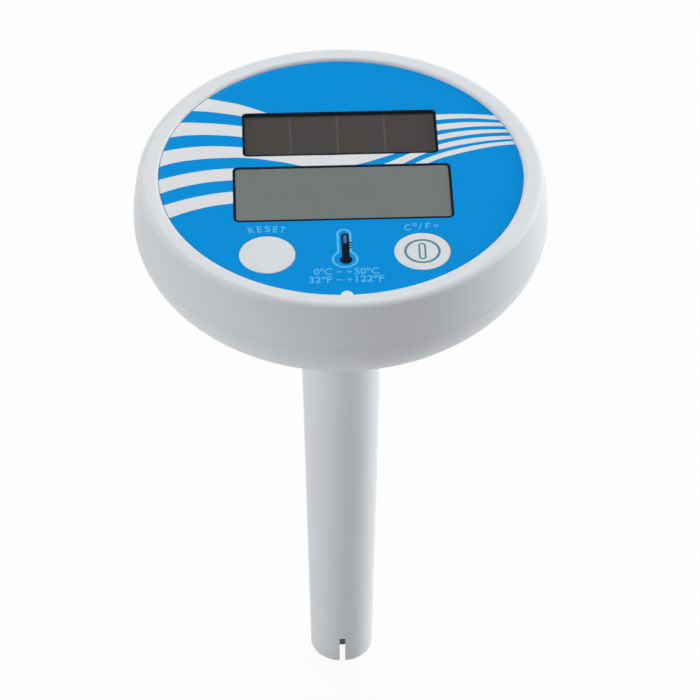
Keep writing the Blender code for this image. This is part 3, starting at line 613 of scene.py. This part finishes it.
white_abs = textured("white_abs", (0.775, 0.805, 0.830), 0.42, MOULDED, SHELL_GLOSS)
# Painted light: the stem uses the shells' moulded white made about 4 % lighter, so that it looks more
# brightly lit than the head
lit_stem_white = textured("lit_stem_white", (0.806, 0.837, 0.863), 0.42, MOULDED, SHELL_GLOSS)
key_white = textured("key_white", (0.742, 0.775, 0.795), 0.45, MOULDED, SHELL_GLOSS)
blue_film = textured("blue_film", (0.0028, 0.306, 0.780), 0.40, PRINTED, PRINT_GLOSS)
white_ink = textured("white_ink", (0.820, 0.835, 0.850), 0.42, PRINTED, PRINT_GLOSS)
pale_ink = textured("pale_ink", (0.120, 0.540, 0.950), 0.42, PRINTED, PRINT_GLOSS)
column_ink = textured("column_ink", (0.060, 0.190, 0.400), 0.42, PRINTED, PRINT_GLOSS)
black_ink = textured("black_ink", (0.004, 0.010, 0.018), 0.42, PRINTED, PRINT_GLOSS)
symbol_ink = textured("symbol_ink", (0.125, 0.290, 0.370), 0.45, PRINTED, PRINT_GLOSS)
border_black = textured("border_black", (0.0030, 0.0150, 0.0280), 0.45, RUBBER, PRINT_GLOSS)
seal_black = textured("seal_black", (0.012, 0.013, 0.014), 0.55, RUBBER)
plug_grey = textured("plug_grey", (0.240, 0.240, 0.240), 0.60, RUBBER)
clear_pane = clear("clear_pane")
lcd_grey = textured("lcd_grey", (0.226, 0.253, 0.244), 0.30, POLARISER, WINDOW_GLOSS)
cell_brown = solar_cells("cell_brown", (0.069, 0.060, 0.054), (0.112, 0.103, 0.095))
board_green = circuit_board("board_green", (0.015, 0.140, 0.045))
plain_steel = textured("plain_steel", (0.58, 0.58, 0.57), 0.30, PLATED, metallic=1.0)

finishes = {
    "white_abs": white_abs,
    "key_white": key_white,
    "blue_film": blue_film,
    "clear_pane": clear_pane,
    "black_rubber": seal_black,
    "grey_rubber": plug_grey,
    "lcd_glass": lcd_grey,
    "solar_cells": cell_brown,
    "green_board": board_green,
    "dark_plastic": textured("dark_plastic", (0.022, 0.022, 0.024), 0.45, DARK_MOULDED),
    "grey_foam": textured("grey_foam", (0.19, 0.19, 0.19), 0.85, RUBBER),
    "steel": plain_steel,
    "black_epoxy": textured("black_epoxy", (0.010, 0.010, 0.011), 0.25, POTTED),
    "grey_lead": textured("grey_lead", (0.25, 0.25, 0.26), 0.50, RUBBER),
    "red_wire": textured("red_wire", (0.50, 0.02, 0.02), 0.42, RUBBER),
}


# Head shells

def make_top_shell():
    """Rim, recessed deck and side wall, open at the windows and keys, with bosses under the deck."""
    seam = SEAM_GAP / 2
    side_start = math.asin((seam + SEAM_EDGE) / SIDE_ARC_RADIUS)
    wall_top = tongue_top + 2 * FIT
    deck_edge = side_centre + math.sqrt(SIDE_ARC_RADIUS**2 - deck_bottom**2) - SHELL_WALL
    profile = [(0, deck_top), (recess_radius, deck_top)]
    edge_r = recess_radius + RIM_EDGE_RADIUS
    profile += arc(edge_r, rim_top - RIM_EDGE_RADIUS, RIM_EDGE_RADIUS, math.pi, QUARTER_TURN)
    profile += arc(crest_r, crest_z, CREST_RADIUS, QUARTER_TURN, crest_end)
    profile += arc(side_centre, 0, SIDE_ARC_RADIUS, crest_end, side_start, BOWL_STEPS // 2)[1:]
    profile += arc(seam_edge_r, seam + SEAM_EDGE, SEAM_EDGE, 0, -QUARTER_TURN, SEAM_STEPS)[1:]
    profile += [(wall_radius, seam), (wall_radius, wall_top), (deck_edge, deck_bottom), (0, deck_bottom)]
    shell = mesh_object("top_shell", lathe(profile))

    inside_deck = (deck_top + deck_bottom) / 2
    tab_top = rim_top - TAB_DROP
    tab = [(0, inside_deck), (TAB_RADIUS, inside_deck)]
    tab += arc(TAB_RADIUS - TAB_EDGE, tab_top - TAB_EDGE, TAB_EDGE, 0, QUARTER_TURN, EDGE_STEPS)
    tab.append((0, tab_top))
    combine(shell, lathe(tab, SMALL_STEPS, (0, tab_y)), "UNION")
    board_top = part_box("main_board")[1].z
    combine(shell, pillars(BOARD_BOSS, board_top + FIT, inside_deck, board_screw_centres), "UNION")
    combine(shell, pillars(HOUSING_BOSS, COLUMN_TOP + FIT, inside_deck, housing_screw_centres), "UNION")

    below = deck_bottom - DECK_THICKNESS
    for node, inset, floor in (
        ("lcd_panel", -FIT, below),
        ("solar_panel", -FIT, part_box("solar_panel")[0].z - HAIRLINE),
        ("solar_panel", SOLAR_LEDGE, below),
    ):
        width, height = extent(node)
        opening = rounded_loop(width - 2 * inset, height - 2 * inset, POCKET_CORNER, middle(node))
        combine(shell, flat_solid([opening], floor, rim_top))
    combine(shell, pillars(KEY_RADIUS + FIT / 2, below, rim_top, key_centres.values(), KEY_STEPS))
    board_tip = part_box("board_screw_1")[1].z + FIT
    housing_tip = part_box("housing_screw_1")[1].z + FIT
    combine(shell, pillars(BOARD_PILOT, 0, board_tip, board_screw_centres))
    combine(shell, pillars(HOUSING_PILOT, COLUMN_SEAT, housing_tip, housing_screw_centres))
    dress(shell, white_abs, stands_for=["top_housing"])


def bowl_curve(width, depth, start, end):
    """Points of the elliptic bowl between two angles below the parting plane."""
    angles = [start + (end - start) * i / BOWL_STEPS for i in range(BOWL_STEPS + 1)]
    return [(width * math.cos(a), -depth * math.sin(a)) for a in angles]


def make_lower_shell():
    """Bowl with its sealing tongue, screw columns and the pad that carries the stem."""
    seam = -SEAM_GAP / 2
    foot_radius = float_radius * math.sqrt(1 - (foot_z / BOWL_DEPTH) ** 2)
    foot_angle = math.acos(foot_radius / float_radius)
    seam_angle = math.asin((SEAM_EDGE - seam) / BOWL_DEPTH)
    groove_floor = tongue_radius - TONGUE_GROOVE
    groove_top = tongue_top / 2 + TONGUE_GROOVE / 2 + FIT
    groove_bottom = tongue_top - groove_top
    profile = [
        (0, tongue_top),
        (tongue_radius, tongue_top),
        (tongue_radius, groove_top),
        (groove_floor, groove_top),
        (groove_floor, groove_bottom),
        (tongue_radius, groove_bottom),
        (tongue_radius, seam),
    ]
    profile += arc(seam_edge_r, seam - SEAM_EDGE, SEAM_EDGE, QUARTER_TURN, 0, SEAM_STEPS)
    profile += bowl_curve(float_radius, BOWL_DEPTH, seam_angle, foot_angle)[1:]
    profile.append((0, foot_z))
    bowl = mesh_object("lower_shell", lathe(profile))

    pad_radius = flange_radius + PAD_MARGIN
    start = math.acos(cavity_radius / wall_radius)
    end = math.acos(pad_radius / wall_radius)
    above = tongue_top + TONGUE_WALL
    groove_inner = stem_hole + SEAL_LAND
    groove_outer = groove_inner + SEAL_GROOVE_WIDTH
    inside = [(0, above), (cavity_radius, above)]
    inside += bowl_curve(wall_radius, BOWL_DEPTH - SHELL_WALL, start, end)
    inside += [
        (pad_radius, pad_top),
        (groove_outer, pad_top),
        (groove_outer, pad_top - SEAL_GROOVE_DEPTH),
        (groove_inner, pad_top - SEAL_GROOVE_DEPTH),
        (groove_inner, pad_top),
        (stem_hole, pad_top),
        (stem_hole, -BOWL_DEPTH),
        (0, -BOWL_DEPTH),
    ]
    cavity = mesh_object("cavity", lathe(inside))
    combine(cavity, pillars(COLUMN_RADIUS, -BOWL_DEPTH, COLUMN_TOP, housing_screw_centres))
    combine(bowl, tool_from(cavity))
    combine(bowl, pillars(COUNTERBORE, -BOWL_DEPTH, COLUMN_SEAT, housing_screw_centres))
    combine(bowl, pillars(HOUSING_PILOT, COLUMN_SEAT - FIT, 0, housing_screw_centres))
    stem_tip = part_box("stem_screw_1")[0].z - FIT
    combine(bowl, pillars(STEM_SCREW_HOLE, stem_tip, 0, stem_screw_centres))
    dress(bowl, white_abs, stands_for=["lower_bowl"])


def make_housing_screws():
    """Pan-head screws with a cross recess, heads down in their counterbores."""
    for number, centre in enumerate(housing_screw_centres, 1):
        node = f"housing_screw_{number}"
        low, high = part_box(node)
        seat = low.z + HOUSING_HEAD
        head_radius = extent(node)[0] / 2
        round_edge = HOUSING_HEAD / 2
        profile = [(0, low.z)]
        edge_r = head_radius - round_edge
        profile += arc(edge_r, low.z + round_edge, round_edge, -QUARTER_TURN, 0, ROUND_STEPS)
        profile += [(head_radius, seat), (HOUSING_SHANK, seat)]
        profile += [(HOUSING_SHANK, high.z - HOUSING_SHANK), (0, high.z)]
        screw = mesh_object(f"head_screw_{number}", lathe(profile, SMALL_STEPS, centre))
        for size in ((RECESS_LENGTH, RECESS_WIDTH), (RECESS_WIDTH, RECESS_LENGTH)):
            combine(screw, block(*size, low.z - RECESS_DEPTH, low.z + RECESS_DEPTH, centre))
        dress(screw, plain_steel, stands_for=[node])


# Face

def window_centre(window):
    """Plan centre of a window, which the print sets a little to the right."""
    x, y = middle(f"{window}_gasket")
    return x + WINDOW_SHIFT, y


def window_loop(window, corner, grow=0.0):
    """Outline of a window's gasket, grown or shrunk."""
    width, height = extent(f"{window}_gasket")
    return rounded_loop(width + 2 * grow, height + 2 * grow, corner + grow, window_centre(window))


WINDOW_CORNERS = {"lcd": LCD_CORNER, "solar": SOLAR_CORNER}


def face_plate(name, bottom, top, edge=0.0):
    """Disc of the face, open at the windows, the keys and the tab."""
    loops = [circle_loop(film_radius)]
    loops += [window_loop(window, corner, HAIRLINE) for window, corner in WINDOW_CORNERS.items()]
    loops += [circle_loop(KEY_RADIUS + KEY_GAP, centre, KEY_STEPS) for centre in key_centres.values()]
    plate = mesh_object(name, flat_solid(loops, bottom, top, edge))
    combine(plate, pillars(TAB_RADIUS + KEY_GAP, bottom - INK, top + INK, [(0, tab_y)]))
    return plate


# Wave stripes in millimetres: the upper edge in two parts from left to right, then the lower edge
WAVE_STRIPES = (
    (
        ((-50, 39.0), (-38, 34.2), (-32, 32.1), (-26, 30.1), (-19, 26.4), (-6, 20.5), (12, 21.8)),
        ((24, 23.9), (32, 24.15), (40, 23.4), (50, 21.6)),
        ((-50, 28.1), (-42, 28.0), (-36, 27.6), (-30, 26.4), (-25, 25.0), (-8, 18.0), (12, 19.0)),
        ((24, 21.5), (33, 22.3), (40, 21.7), (50, 19.6)),
    ),
    (
        ((-50, 22.3), (-42, 23.0), (-36, 22.65), (-30, 21.85), (-24, 20.5), (-8, 14.5), (12, 16.0)),
        ((24, 19.5), (33, 20.6), (40, 20.35), (50, 19.3)),
        ((-50, 14.6), (-44, 17.0), (-38, 17.7), (-32, 17.4), (-25, 16.3), (-8, 11.5), (12, 13.2)),
        ((24, 16.9), (32, 18.3), (38, 18.8), (50, 18.0)),
    ),
    (
        ((-50, 9.8), (-44, 11.8), (-36, 12.85), (-30, 12.65), (-22, 11.4), (-12, 8.9), (-3, 8.1)),
        ((8, 9.0), (18, 12.4), (26.6, 15.65), (34, 17.1), (40, 17.35), (50, 16.9)),
        ((-50, 3.6), (-44, 6.2), (-38, 7.45), (-31, 7.9), (-24, 7.65), (-16, 5.85), (-5, 2.8)),
        ((4.5, 4.1), (10, 6.2), (18, 9.8), (26.6, 13.4), (34, 15.2), (40, 15.9), (50, 15.8)),
    ),
    (
        ((-50, -1.4), (-44, 0.75), (-38, 2.4), (-32, 3.3), (-25, 3.4), (-10, 0.5), (4, 0.6)),
        ((12.4, 4.5), (18.1, 7.9), (26.6, 11.65), (32, 13.3), (38, 14.25), (50, 14.6)),
        ((-50, -7.6), (-44, -4.6), (-38, -2.6), (-31, -1.5), (-22, -1.4), (-5, -3.5), (9, -1.0)),
        ((17.4, 4.6), (22.4, 7.9), (28, 10.05), (34, 11.7), (40, 12.8), (50, 13.3)),
    ),
    (
        ((-50, -12.6), (-44, -9.9), (-38, -7.8), (-30, -6.1), (-20, -5.6), (0, -6.5), (12, -2.2)),
        ((20.5, 4.6), (26.5, 7.9), (32, 9.85), (38, 11.35), (44, 12.15), (50, 12.5)),
        ((-50, -18.8), (-44, -15.55), (-38, -12.85), (-30, -10.9), (-20, -10.0), (0, -9.5), (14, -4.0)),
        ((24.1, 4.6), (30, 7.2), (36, 9.15), (42, 10.55), (50, 11.2)),
    ),
)
MILLIMETRE = 0.001


def flow_solid(upper, lower, bottom, top):
    """Plate between two flowing edges."""
    curve = flat_curve(bottom, top)
    line = curve.splines.new("BEZIER")
    knots = [*upper, *lower[::-1]]
    line.bezier_points.add(len(knots) - 1)
    corners = (upper[0], upper[-1], lower[0], lower[-1])
    for knot, at in zip(line.bezier_points, knots):
        knot.co = (at[0] * MILLIMETRE, at[1] * MILLIMETRE, 0)
        handle = "VECTOR" if at in corners else "AUTO"
        knot.handle_left_type = handle
        knot.handle_right_type = handle
    line.use_cyclic_u = True
    shape = solid_of(curve)
    bmesh.ops.translate(shape, verts=shape.verts, vec=(0, 0, (top + bottom) / 2))
    return shape


def make_face():
    """The printed film and its wave stripes."""
    film = face_plate("printed_film", film_bottom, face, FILM_EDGE)
    dress(film, blue_film, stands_for=["face_film"], sharp=FLAT_SHARP)
    for number, edges in enumerate(WAVE_STRIPES, 1):
        left_upper, right_upper, left_lower, right_lower = edges
        stripe = mesh_object(
            f"wave_stripe_{number}",
            flow_solid(left_upper + right_upper, left_lower + right_lower, face, face + INK),
        )
        area = face_plate("print_area", face - INK, face + 2 * INK)
        combine(stripe, tool_from(area), "INTERSECT")
        dress(stripe, white_ink)


def ink_piece(name, loops, material, body=HEAD):
    """Thin print over a flat outline."""
    return dress(mesh_object(name, flat_solid(loops, face, face + INK)), material, body)


def make_thermometer_mark():
    """Pale outline of a thermometer round a dark gauge with a paler column and three ticks."""
    outline = bulb_loop(MARK_X, MARK_TOP, MARK_BULB_Y, MARK_TUBE, MARK_BULB)
    inner_top = MARK_TOP - MARK_LINE
    inside = bulb_loop(MARK_X, inner_top, MARK_BULB_Y, MARK_TUBE - MARK_LINE, MARK_BULB - MARK_LINE)
    ink_piece("mark_outline", [outline, inside], pale_ink)
    gauge = bulb_loop(GAUGE_X, GAUGE_TOP, GAUGE_BULB_Y, GAUGE_TUBE, GAUGE_BULB)
    hollow = rounded_loop(
        2 * HOLLOW_HALF, HOLLOW_TOP - HOLLOW_END, HOLLOW_HALF, (GAUGE_X, (HOLLOW_TOP + HOLLOW_END) / 2)
    )
    ink_piece("mark_gauge", [gauge, hollow], black_ink)
    ink_piece("mark_column", [hollow], column_ink)
    tick_x = MARK_X + MARK_TUBE - MARK_LINE / 2
    for number, y in enumerate(TICK_HEIGHTS, 1):
        outline = rounded_loop(TICK_LENGTH, TICK_WIDTH, TICK_CORNER, (tick_x, y))
        tick = flat_solid([outline], face, face + 2 * INK)
        dress(mesh_object(f"mark_tick_{number}", tick), black_ink)


def text_solid(text, width, height, centre):
    """A line of text drawn to a width and a height."""
    curve = bpy.data.curves.new("legend", "FONT")
    curve.body = text
    curve.extrude = LETTER_DEPTH / 2
    curve.offset = LEGEND_WEIGHT
    curve.resolution_u = LETTER_STEPS
    shape = solid_of(curve)
    xs = [v.co.x for v in shape.verts]
    ys = [v.co.y for v in shape.verts]
    tall = height / (max(ys) - min(ys))
    wide = width / (max(xs) - min(xs))
    to_middle = (-(max(xs) + min(xs)) / 2, -(max(ys) + min(ys)) / 2, 0)
    bmesh.ops.translate(shape, verts=shape.verts, vec=to_middle)
    bmesh.ops.scale(shape, verts=shape.verts, vec=(wide, tall, INK / LETTER_DEPTH))
    bmesh.ops.translate(shape, verts=shape.verts, vec=(*centre, face + INK / 2))
    return shape


# Range legend: text, left end, right end, height of its middle, letter height
RANGE_LINES = (
    ("0ºC", -0.0082, -0.0035, -0.03850, RANGE_HEIGHT),
    ("~", -0.0023, -0.0009, -0.03870, TILDE_HEIGHT),
    ("+", 0.0003, 0.0016, -0.03870, PLUS_HEIGHT),
    ("50ºC", 0.0022, 0.0085, -0.03855, RANGE_HEIGHT),
    ("32ºF", -0.0095, -0.0036, -0.04160, RANGE_HEIGHT),
    ("~", -0.0025, -0.0010, -0.04175, TILDE_HEIGHT),
    ("+", 0.0002, 0.0015, -0.04180, PLUS_HEIGHT),
    ("122ºF", 0.0025, 0.0097, -0.04150, RANGE_HEIGHT),
)

# Key legends: letter, its place along the arc, its shift outwards, width and height
KEY_LEGENDS = {
    "reset": (
        ("R", -0.0040, 0, 0.0015, LEGEND_HEIGHT),
        ("E", -0.0018, 0, 0.0012, LEGEND_HEIGHT),
        ("S", 0.0003, 0, 0.0014, LEGEND_HEIGHT),
        ("E", 0.0023, 0, 0.0012, LEGEND_HEIGHT),
        ("T", 0.0042, 0, 0.0014, LEGEND_HEIGHT),
    ),
    "unit": (
        ("C", -0.0035, -0.0003, 0.0016, LEGEND_HEIGHT),
        ("o", -0.0015, 0.0006, 0.0012, DEGREE_HEIGHT),
        ("/", -0.0001, -0.0002, 0.0009, LEGEND_HEIGHT),
        ("F", 0.0018, 0, 0.0011, LEGEND_HEIGHT),
        ("o", 0.0039, 0.0003, 0.0012, DEGREE_HEIGHT),
    ),
}


def make_legends():
    """Range lines under the mark, and the letters in arcs over the keys."""
    for number, (text, left, right, y, height) in enumerate(RANGE_LINES, 1):
        shape = text_solid(text, right - left, height, ((left + right) / 2, y))
        dress(mesh_object(f"range_legend_{number}", shape), pale_ink)
    for key, letters in KEY_LEGENDS.items():
        x, y = key_centres[key]
        for number, (letter, along, outwards, width, height) in enumerate(letters, 1):
            shape = text_solid(letter, width, height, (0, LEGEND_ARC + outwards))
            turn = Matrix.Rotation(-along / LEGEND_ARC, 3, "Z")
            bmesh.ops.rotate(shape, verts=shape.verts, cent=(0, 0, 0), matrix=turn)
            bmesh.ops.translate(shape, verts=shape.verts, vec=(x, y + LEGEND_RISE - LEGEND_ARC, 0))
            dress(mesh_object(f"{key}_legend_{number}", shape), pale_ink)


# Windows

def make_windows():
    """Black borders, clear panes and the display's grey sheet."""
    for window, corner in WINDOW_CORNERS.items():
        pane_size = extent(f"{window}_pane")
        inset = (extent(f"{window}_gasket")[0] - pane_size[0]) / 2
        pane_corner = corner - inset
        pane_loop = rounded_loop(*pane_size, pane_corner, window_centre(window))
        outline = window_loop(window, corner)
        hole = window_loop(window, corner, HAIRLINE - inset)
        border = flat_solid([outline, hole], film_bottom, face + HAIRLINE, GASKET_EDGE)
        border_piece = mesh_object(f"{window}_border", border)
        dress(border_piece, border_black, HEAD, [f"{window}_gasket"], FLAT_SHARP)
        bottom = face - LCD_PANE_THICKNESS if window == "lcd" else film_bottom
        pane = mesh_object(f"{window}_window", flat_solid([pane_loop], bottom, face))
        dress(pane, clear_pane, stands_for=[f"{window}_pane"])
        if window == "lcd":
            sheet = flat_solid([pane_loop], film_bottom, bottom - HAIRLINE)
            dress(mesh_object("lcd_polariser", sheet), lcd_grey)


# Keys

def make_keys():
    """Hollow caps with a flange under the deck; the unit key carries a ring and a bar."""
    for name, centre in key_centres.items():
        low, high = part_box(f"{name}_key")
        flange = extent(f"{name}_key")[0] / 2
        flange_upper = low.z + KEY_FLANGE
        inner = KEY_RADIUS - KEY_WALL
        ceiling = high.z - KEY_TOP
        profile = [(0, high.z)]
        edge_r = KEY_RADIUS - KEY_EDGE
        profile += arc(edge_r, high.z - KEY_EDGE, KEY_EDGE, QUARTER_TURN, 0, EDGE_STEPS)
        profile += [
            (KEY_RADIUS, flange_upper),
            (flange, flange_upper),
            (flange, low.z),
            (inner, low.z),
            (inner, ceiling),
            (KEY_POST, ceiling),
            (KEY_POST, low.z),
            (0, low.z),
        ]
        key = mesh_object(f"{name}_cap", lathe(profile, KEY_STEPS, centre))
        dress(key, key_white, f"{name}_button", [f"{name}_key"])
    centre = key_centres["unit"]
    ring = [circle_loop(UNIT_RING_RADIUS, centre, KEY_STEPS)]
    ring.append(circle_loop(UNIT_RING_RADIUS - UNIT_RING_LINE, centre, KEY_STEPS))
    ink_piece("unit_ring", ring, symbol_ink, "unit_button")
    pill = [rounded_loop(UNIT_PILL_WIDTH, UNIT_PILL_HEIGHT, UNIT_PILL_WIDTH / 2, centre)]
    pill_width = UNIT_PILL_WIDTH - 2 * UNIT_PILL_LINE
    pill_height = UNIT_PILL_HEIGHT - 2 * UNIT_PILL_LINE
    pill.append(rounded_loop(pill_width, pill_height, pill_width / 2, centre))
    ink_piece("unit_bar", pill, symbol_ink, "unit_button")


# Stem

def make_stem():
    """Drafted tube with an inner flange and a slot across its open end."""
    bore_end = STEM_END_RADIUS - STEM_WALL
    plug_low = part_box("end_plug")[0].z
    profile = [
        (flange_radius, flange_top),
        (flange_radius, flange_bottom),
        (stem_radius(flange_bottom), flange_bottom),
        (STEM_TOP_RADIUS, foot_z),
    ]
    outer = STEM_END_RADIUS - STEM_EDGE
    inner = bore_end + STEM_INNER_EDGE
    inner_z = stem_end + STEM_INNER_EDGE
    profile += arc(outer, stem_end + STEM_EDGE, STEM_EDGE, 0, -QUARTER_TURN, ROUND_STEPS)
    profile += arc(inner, inner_z, STEM_INNER_EDGE, -QUARTER_TURN, -math.pi, EDGE_STEPS)
    profile += [
        (stem_radius(plug_low) - STEM_WALL, plug_low),
        (stem_radius(flange_top) - STEM_WALL, flange_top),
    ]
    stem = mesh_object("stem", lathe(profile, STEM_STEPS))
    slot = block(SLOT_WIDTH, 4 * STEM_END_RADIUS, stem_end - SLOT_HEIGHT, stem_end + SLOT_HEIGHT)
    combine(stem, slot)
    combine(stem, pillars(STEM_SCREW_HOLE, flange_bottom - FIT, flange_top + FIT, stem_screw_centres))
    dress(stem, lit_stem_white, stands_for=["stem_tube"])


def make_probe():
    """Rubber plug in the end of the bore, and the metal cap that shows through it."""
    low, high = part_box("end_plug")
    plug_low = low.z + PLUG_LIFT
    cap_low, cap_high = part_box("sensor_cap")
    cap_rim = cap_high.x
    cap_radius = cap_rim - CAP_RIM_WIDTH
    edge = STEM_INNER_EDGE
    plug_radius = stem_radius(plug_low) - STEM_WALL - FIT
    plug = [(high.x, high.z), (plug_radius, plug_low + edge), (plug_radius - edge, plug_low)]
    plug += [(cap_radius + FIT, plug_low), (cap_radius + FIT, high.z)]
    plug_piece = mesh_object("stem_plug", lathe(plug, STEM_STEPS))
    dress(plug_piece, plug_grey, stands_for=["end_plug"])
    inner = cap_radius - CAP_WALL
    rim_low = cap_high.z - CAP_RIM
    cap = [(cap_rim, cap_high.z), (cap_rim, rim_low), (cap_radius, rim_low)]
    round_edge = 2 * CAP_WALL
    edge_r = cap_radius - round_edge
    cap += arc(edge_r, cap_low.z + round_edge, round_edge, 0, -QUARTER_TURN, ROUND_STEPS)
    cap_floor = cap_low.z + CAP_WALL
    cap += [(0, cap_low.z), (0, cap_floor), (inner, cap_floor), (inner, cap_high.z)]
    cap_piece = mesh_object("probe_cap", lathe(cap, SMALL_STEPS))
    dress(cap_piece, plain_steel, stands_for=["sensor_cap"])


def dress_inner_parts():
    """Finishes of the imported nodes, by their slot."""
    for row in frame["record"]["subparts"]:
        for holder in frame["nodes"][row["node"]].material_slots:
            holder.material = finishes[row["material_slot"]]


# Stage

FLOOR_SIZE = 8.0
FLOOR_COLOUR = 0.85
FLOOR_GLOW = 0.93
AMBIENT = 0.06
WHITE = (1, 1, 1, 1)

# Softboxes: bearing from the front towards the right, height above level, size, power
SOFTBOX_DISTANCE = 2.2
SOFTBOXES = {
    "right": (105, 12, (1.6, 0.9), 35.5),
    "left": (-62, 30, (1.4, 1.2), 20.5),
    "back": (180, 60, (1.4, 1.4), 25.0),
    "top": (0, 88, (2.0, 2.0), 4.0),
}

# Camera: focal length for a 36 mm wide frame, distance from the face, where the face is seen
LENS = 216.84
SENSOR = 36.0
FRAME_PIXELS = 700
CAMERA_DISTANCE = 1.10442
CAMERA_ELEVATION = math.radians(39.724)
CAMERA_YAW = math.radians(1.835)
CAMERA_ROLL = math.radians(-0.0863)
FACE_PIXEL = (340.84, 174.69)
CLIP_START = 0.01
CLIP_END = 50


def seen_directly(tree):
    """One for camera, mirror and glass rays, which see the white ground."""
    path = add_node(tree, "ShaderNodeLightPath")
    total = path.outputs["Is Camera Ray"]
    for name in ("Is Glossy Ray", "Is Transmission Ray"):
        either = add_node(tree, "ShaderNodeMath", operation="MAXIMUM")
        tree.links.new(total, either.inputs[0])
        tree.links.new(path.outputs[name], either.inputs[1])
        total = either.outputs[0]
    return total


def make_world():
    """White ground for rays that see it directly, and a faint even light for the rest."""
    world = bpy.data.worlds.new("studio")
    bpy.context.scene.world = world
    world.use_nodes = True
    tree = world.node_tree
    tree.nodes.clear()
    ambient = add_node(tree, "ShaderNodeBackground", strength=AMBIENT)
    ambient.inputs["Color"].default_value = WHITE
    ground = add_node(tree, "ShaderNodeBackground", strength=1.0)
    ground.inputs["Color"].default_value = WHITE
    choice = add_node(tree, "ShaderNodeMixShader")
    out = add_node(tree, "ShaderNodeOutputWorld")
    tree.links.new(seen_directly(tree), choice.inputs[0])
    tree.links.new(ambient.outputs[0], choice.inputs[1])
    tree.links.new(ground.outputs[0], choice.inputs[2])
    tree.links.new(choice.outputs[0], out.inputs["Surface"])


def make_floor():
    """White ground that keeps the object's soft shadow."""
    shape = bmesh.new()
    bmesh.ops.create_grid(shape, x_segments=1, y_segments=1, size=FLOOR_SIZE / 2)
    bmesh.ops.translate(shape, verts=shape.verts, vec=(0, 0, stem_end - HAIRLINE))
    floor = mesh_object("floor", shape)
    material = bpy.data.materials.new("floor_white")
    material.use_nodes = True
    tree = material.node_tree
    tree.nodes.clear()
    matte = add_node(tree, "ShaderNodeBsdfDiffuse")
    matte.inputs["Color"].default_value = (FLOOR_COLOUR, FLOOR_COLOUR, FLOOR_COLOUR, 1)
    glow = add_node(tree, "ShaderNodeEmission", strength=1.0)
    share = add_node(tree, "ShaderNodeMath", operation="MULTIPLY")
    share.inputs[1].default_value = FLOOR_GLOW
    choice = add_node(tree, "ShaderNodeMixShader")
    out = add_node(tree, "ShaderNodeOutputMaterial")
    tree.links.new(seen_directly(tree), share.inputs[0])
    tree.links.new(share.outputs[0], choice.inputs[0])
    tree.links.new(matte.outputs[0], choice.inputs[1])
    tree.links.new(glow.outputs[0], choice.inputs[2])
    tree.links.new(choice.outputs[0], out.inputs["Surface"])
    floor.data.materials.append(material)


def make_lights():
    """Soft boxes round the object, hidden from the camera."""
    for name, (bearing, height, size, power) in SOFTBOXES.items():
        light = bpy.data.lights.new(f"{name}_softbox", "AREA")
        light.shape = "RECTANGLE"
        light.size, light.size_y = size
        light.energy = power
        lamp = bpy.data.objects.new(f"{name}_softbox", light)
        swing = Matrix.Rotation(math.radians(bearing), 3, "Z")
        tilt = Matrix.Rotation(math.radians(-height), 3, "X")
        lamp.location = swing @ tilt @ Vector((0, -SOFTBOX_DISTANCE, 0))
        lamp.rotation_euler = lamp.location.to_track_quat("Z", "Y").to_euler()
        lamp.visible_camera = False
        bpy.context.scene.collection.objects.link(lamp)


def make_camera():
    """Looks at the face from the front and above, panned so that the face sits high in the frame."""
    data = bpy.data.cameras.new("camera")
    data.lens = LENS
    data.sensor_width = SENSOR
    camera = bpy.data.objects.new("camera", data)
    bpy.context.scene.collection.objects.link(camera)
    bpy.context.scene.camera = camera
    level = math.cos(CAMERA_ELEVATION)
    back = Vector((
        -level * math.sin(CAMERA_YAW), -level * math.cos(CAMERA_YAW), math.sin(CAMERA_ELEVATION)
    ))
    focal = LENS / SENSOR * FRAME_PIXELS
    aside = (FACE_PIXEL[0] - FRAME_PIXELS / 2) / focal
    down = (FACE_PIXEL[1] - FRAME_PIXELS / 2) / focal
    pan = Vector((0, 0, -1)).rotation_difference(Vector((aside, -down, -1)))
    camera.location = Vector((0, 0, face)) + back * CAMERA_DISTANCE
    camera.rotation_mode = "QUATERNION"
    camera.rotation_quaternion = (
        back.to_track_quat("Z", "Y") @ Quaternion((0, 0, 1), CAMERA_ROLL) @ pan.inverted()
    )
    data.clip_start = CLIP_START
    data.clip_end = CLIP_END


make_top_shell()
make_lower_shell()
make_housing_screws()
make_face()
make_thermometer_mark()
make_legends()
make_windows()
make_keys()
make_stem()
make_probe()
dress_inner_parts()
make_world()
make_floor()
make_lights()
make_camera()
bpy.context.scene.view_settings.view_transform = "Standard"
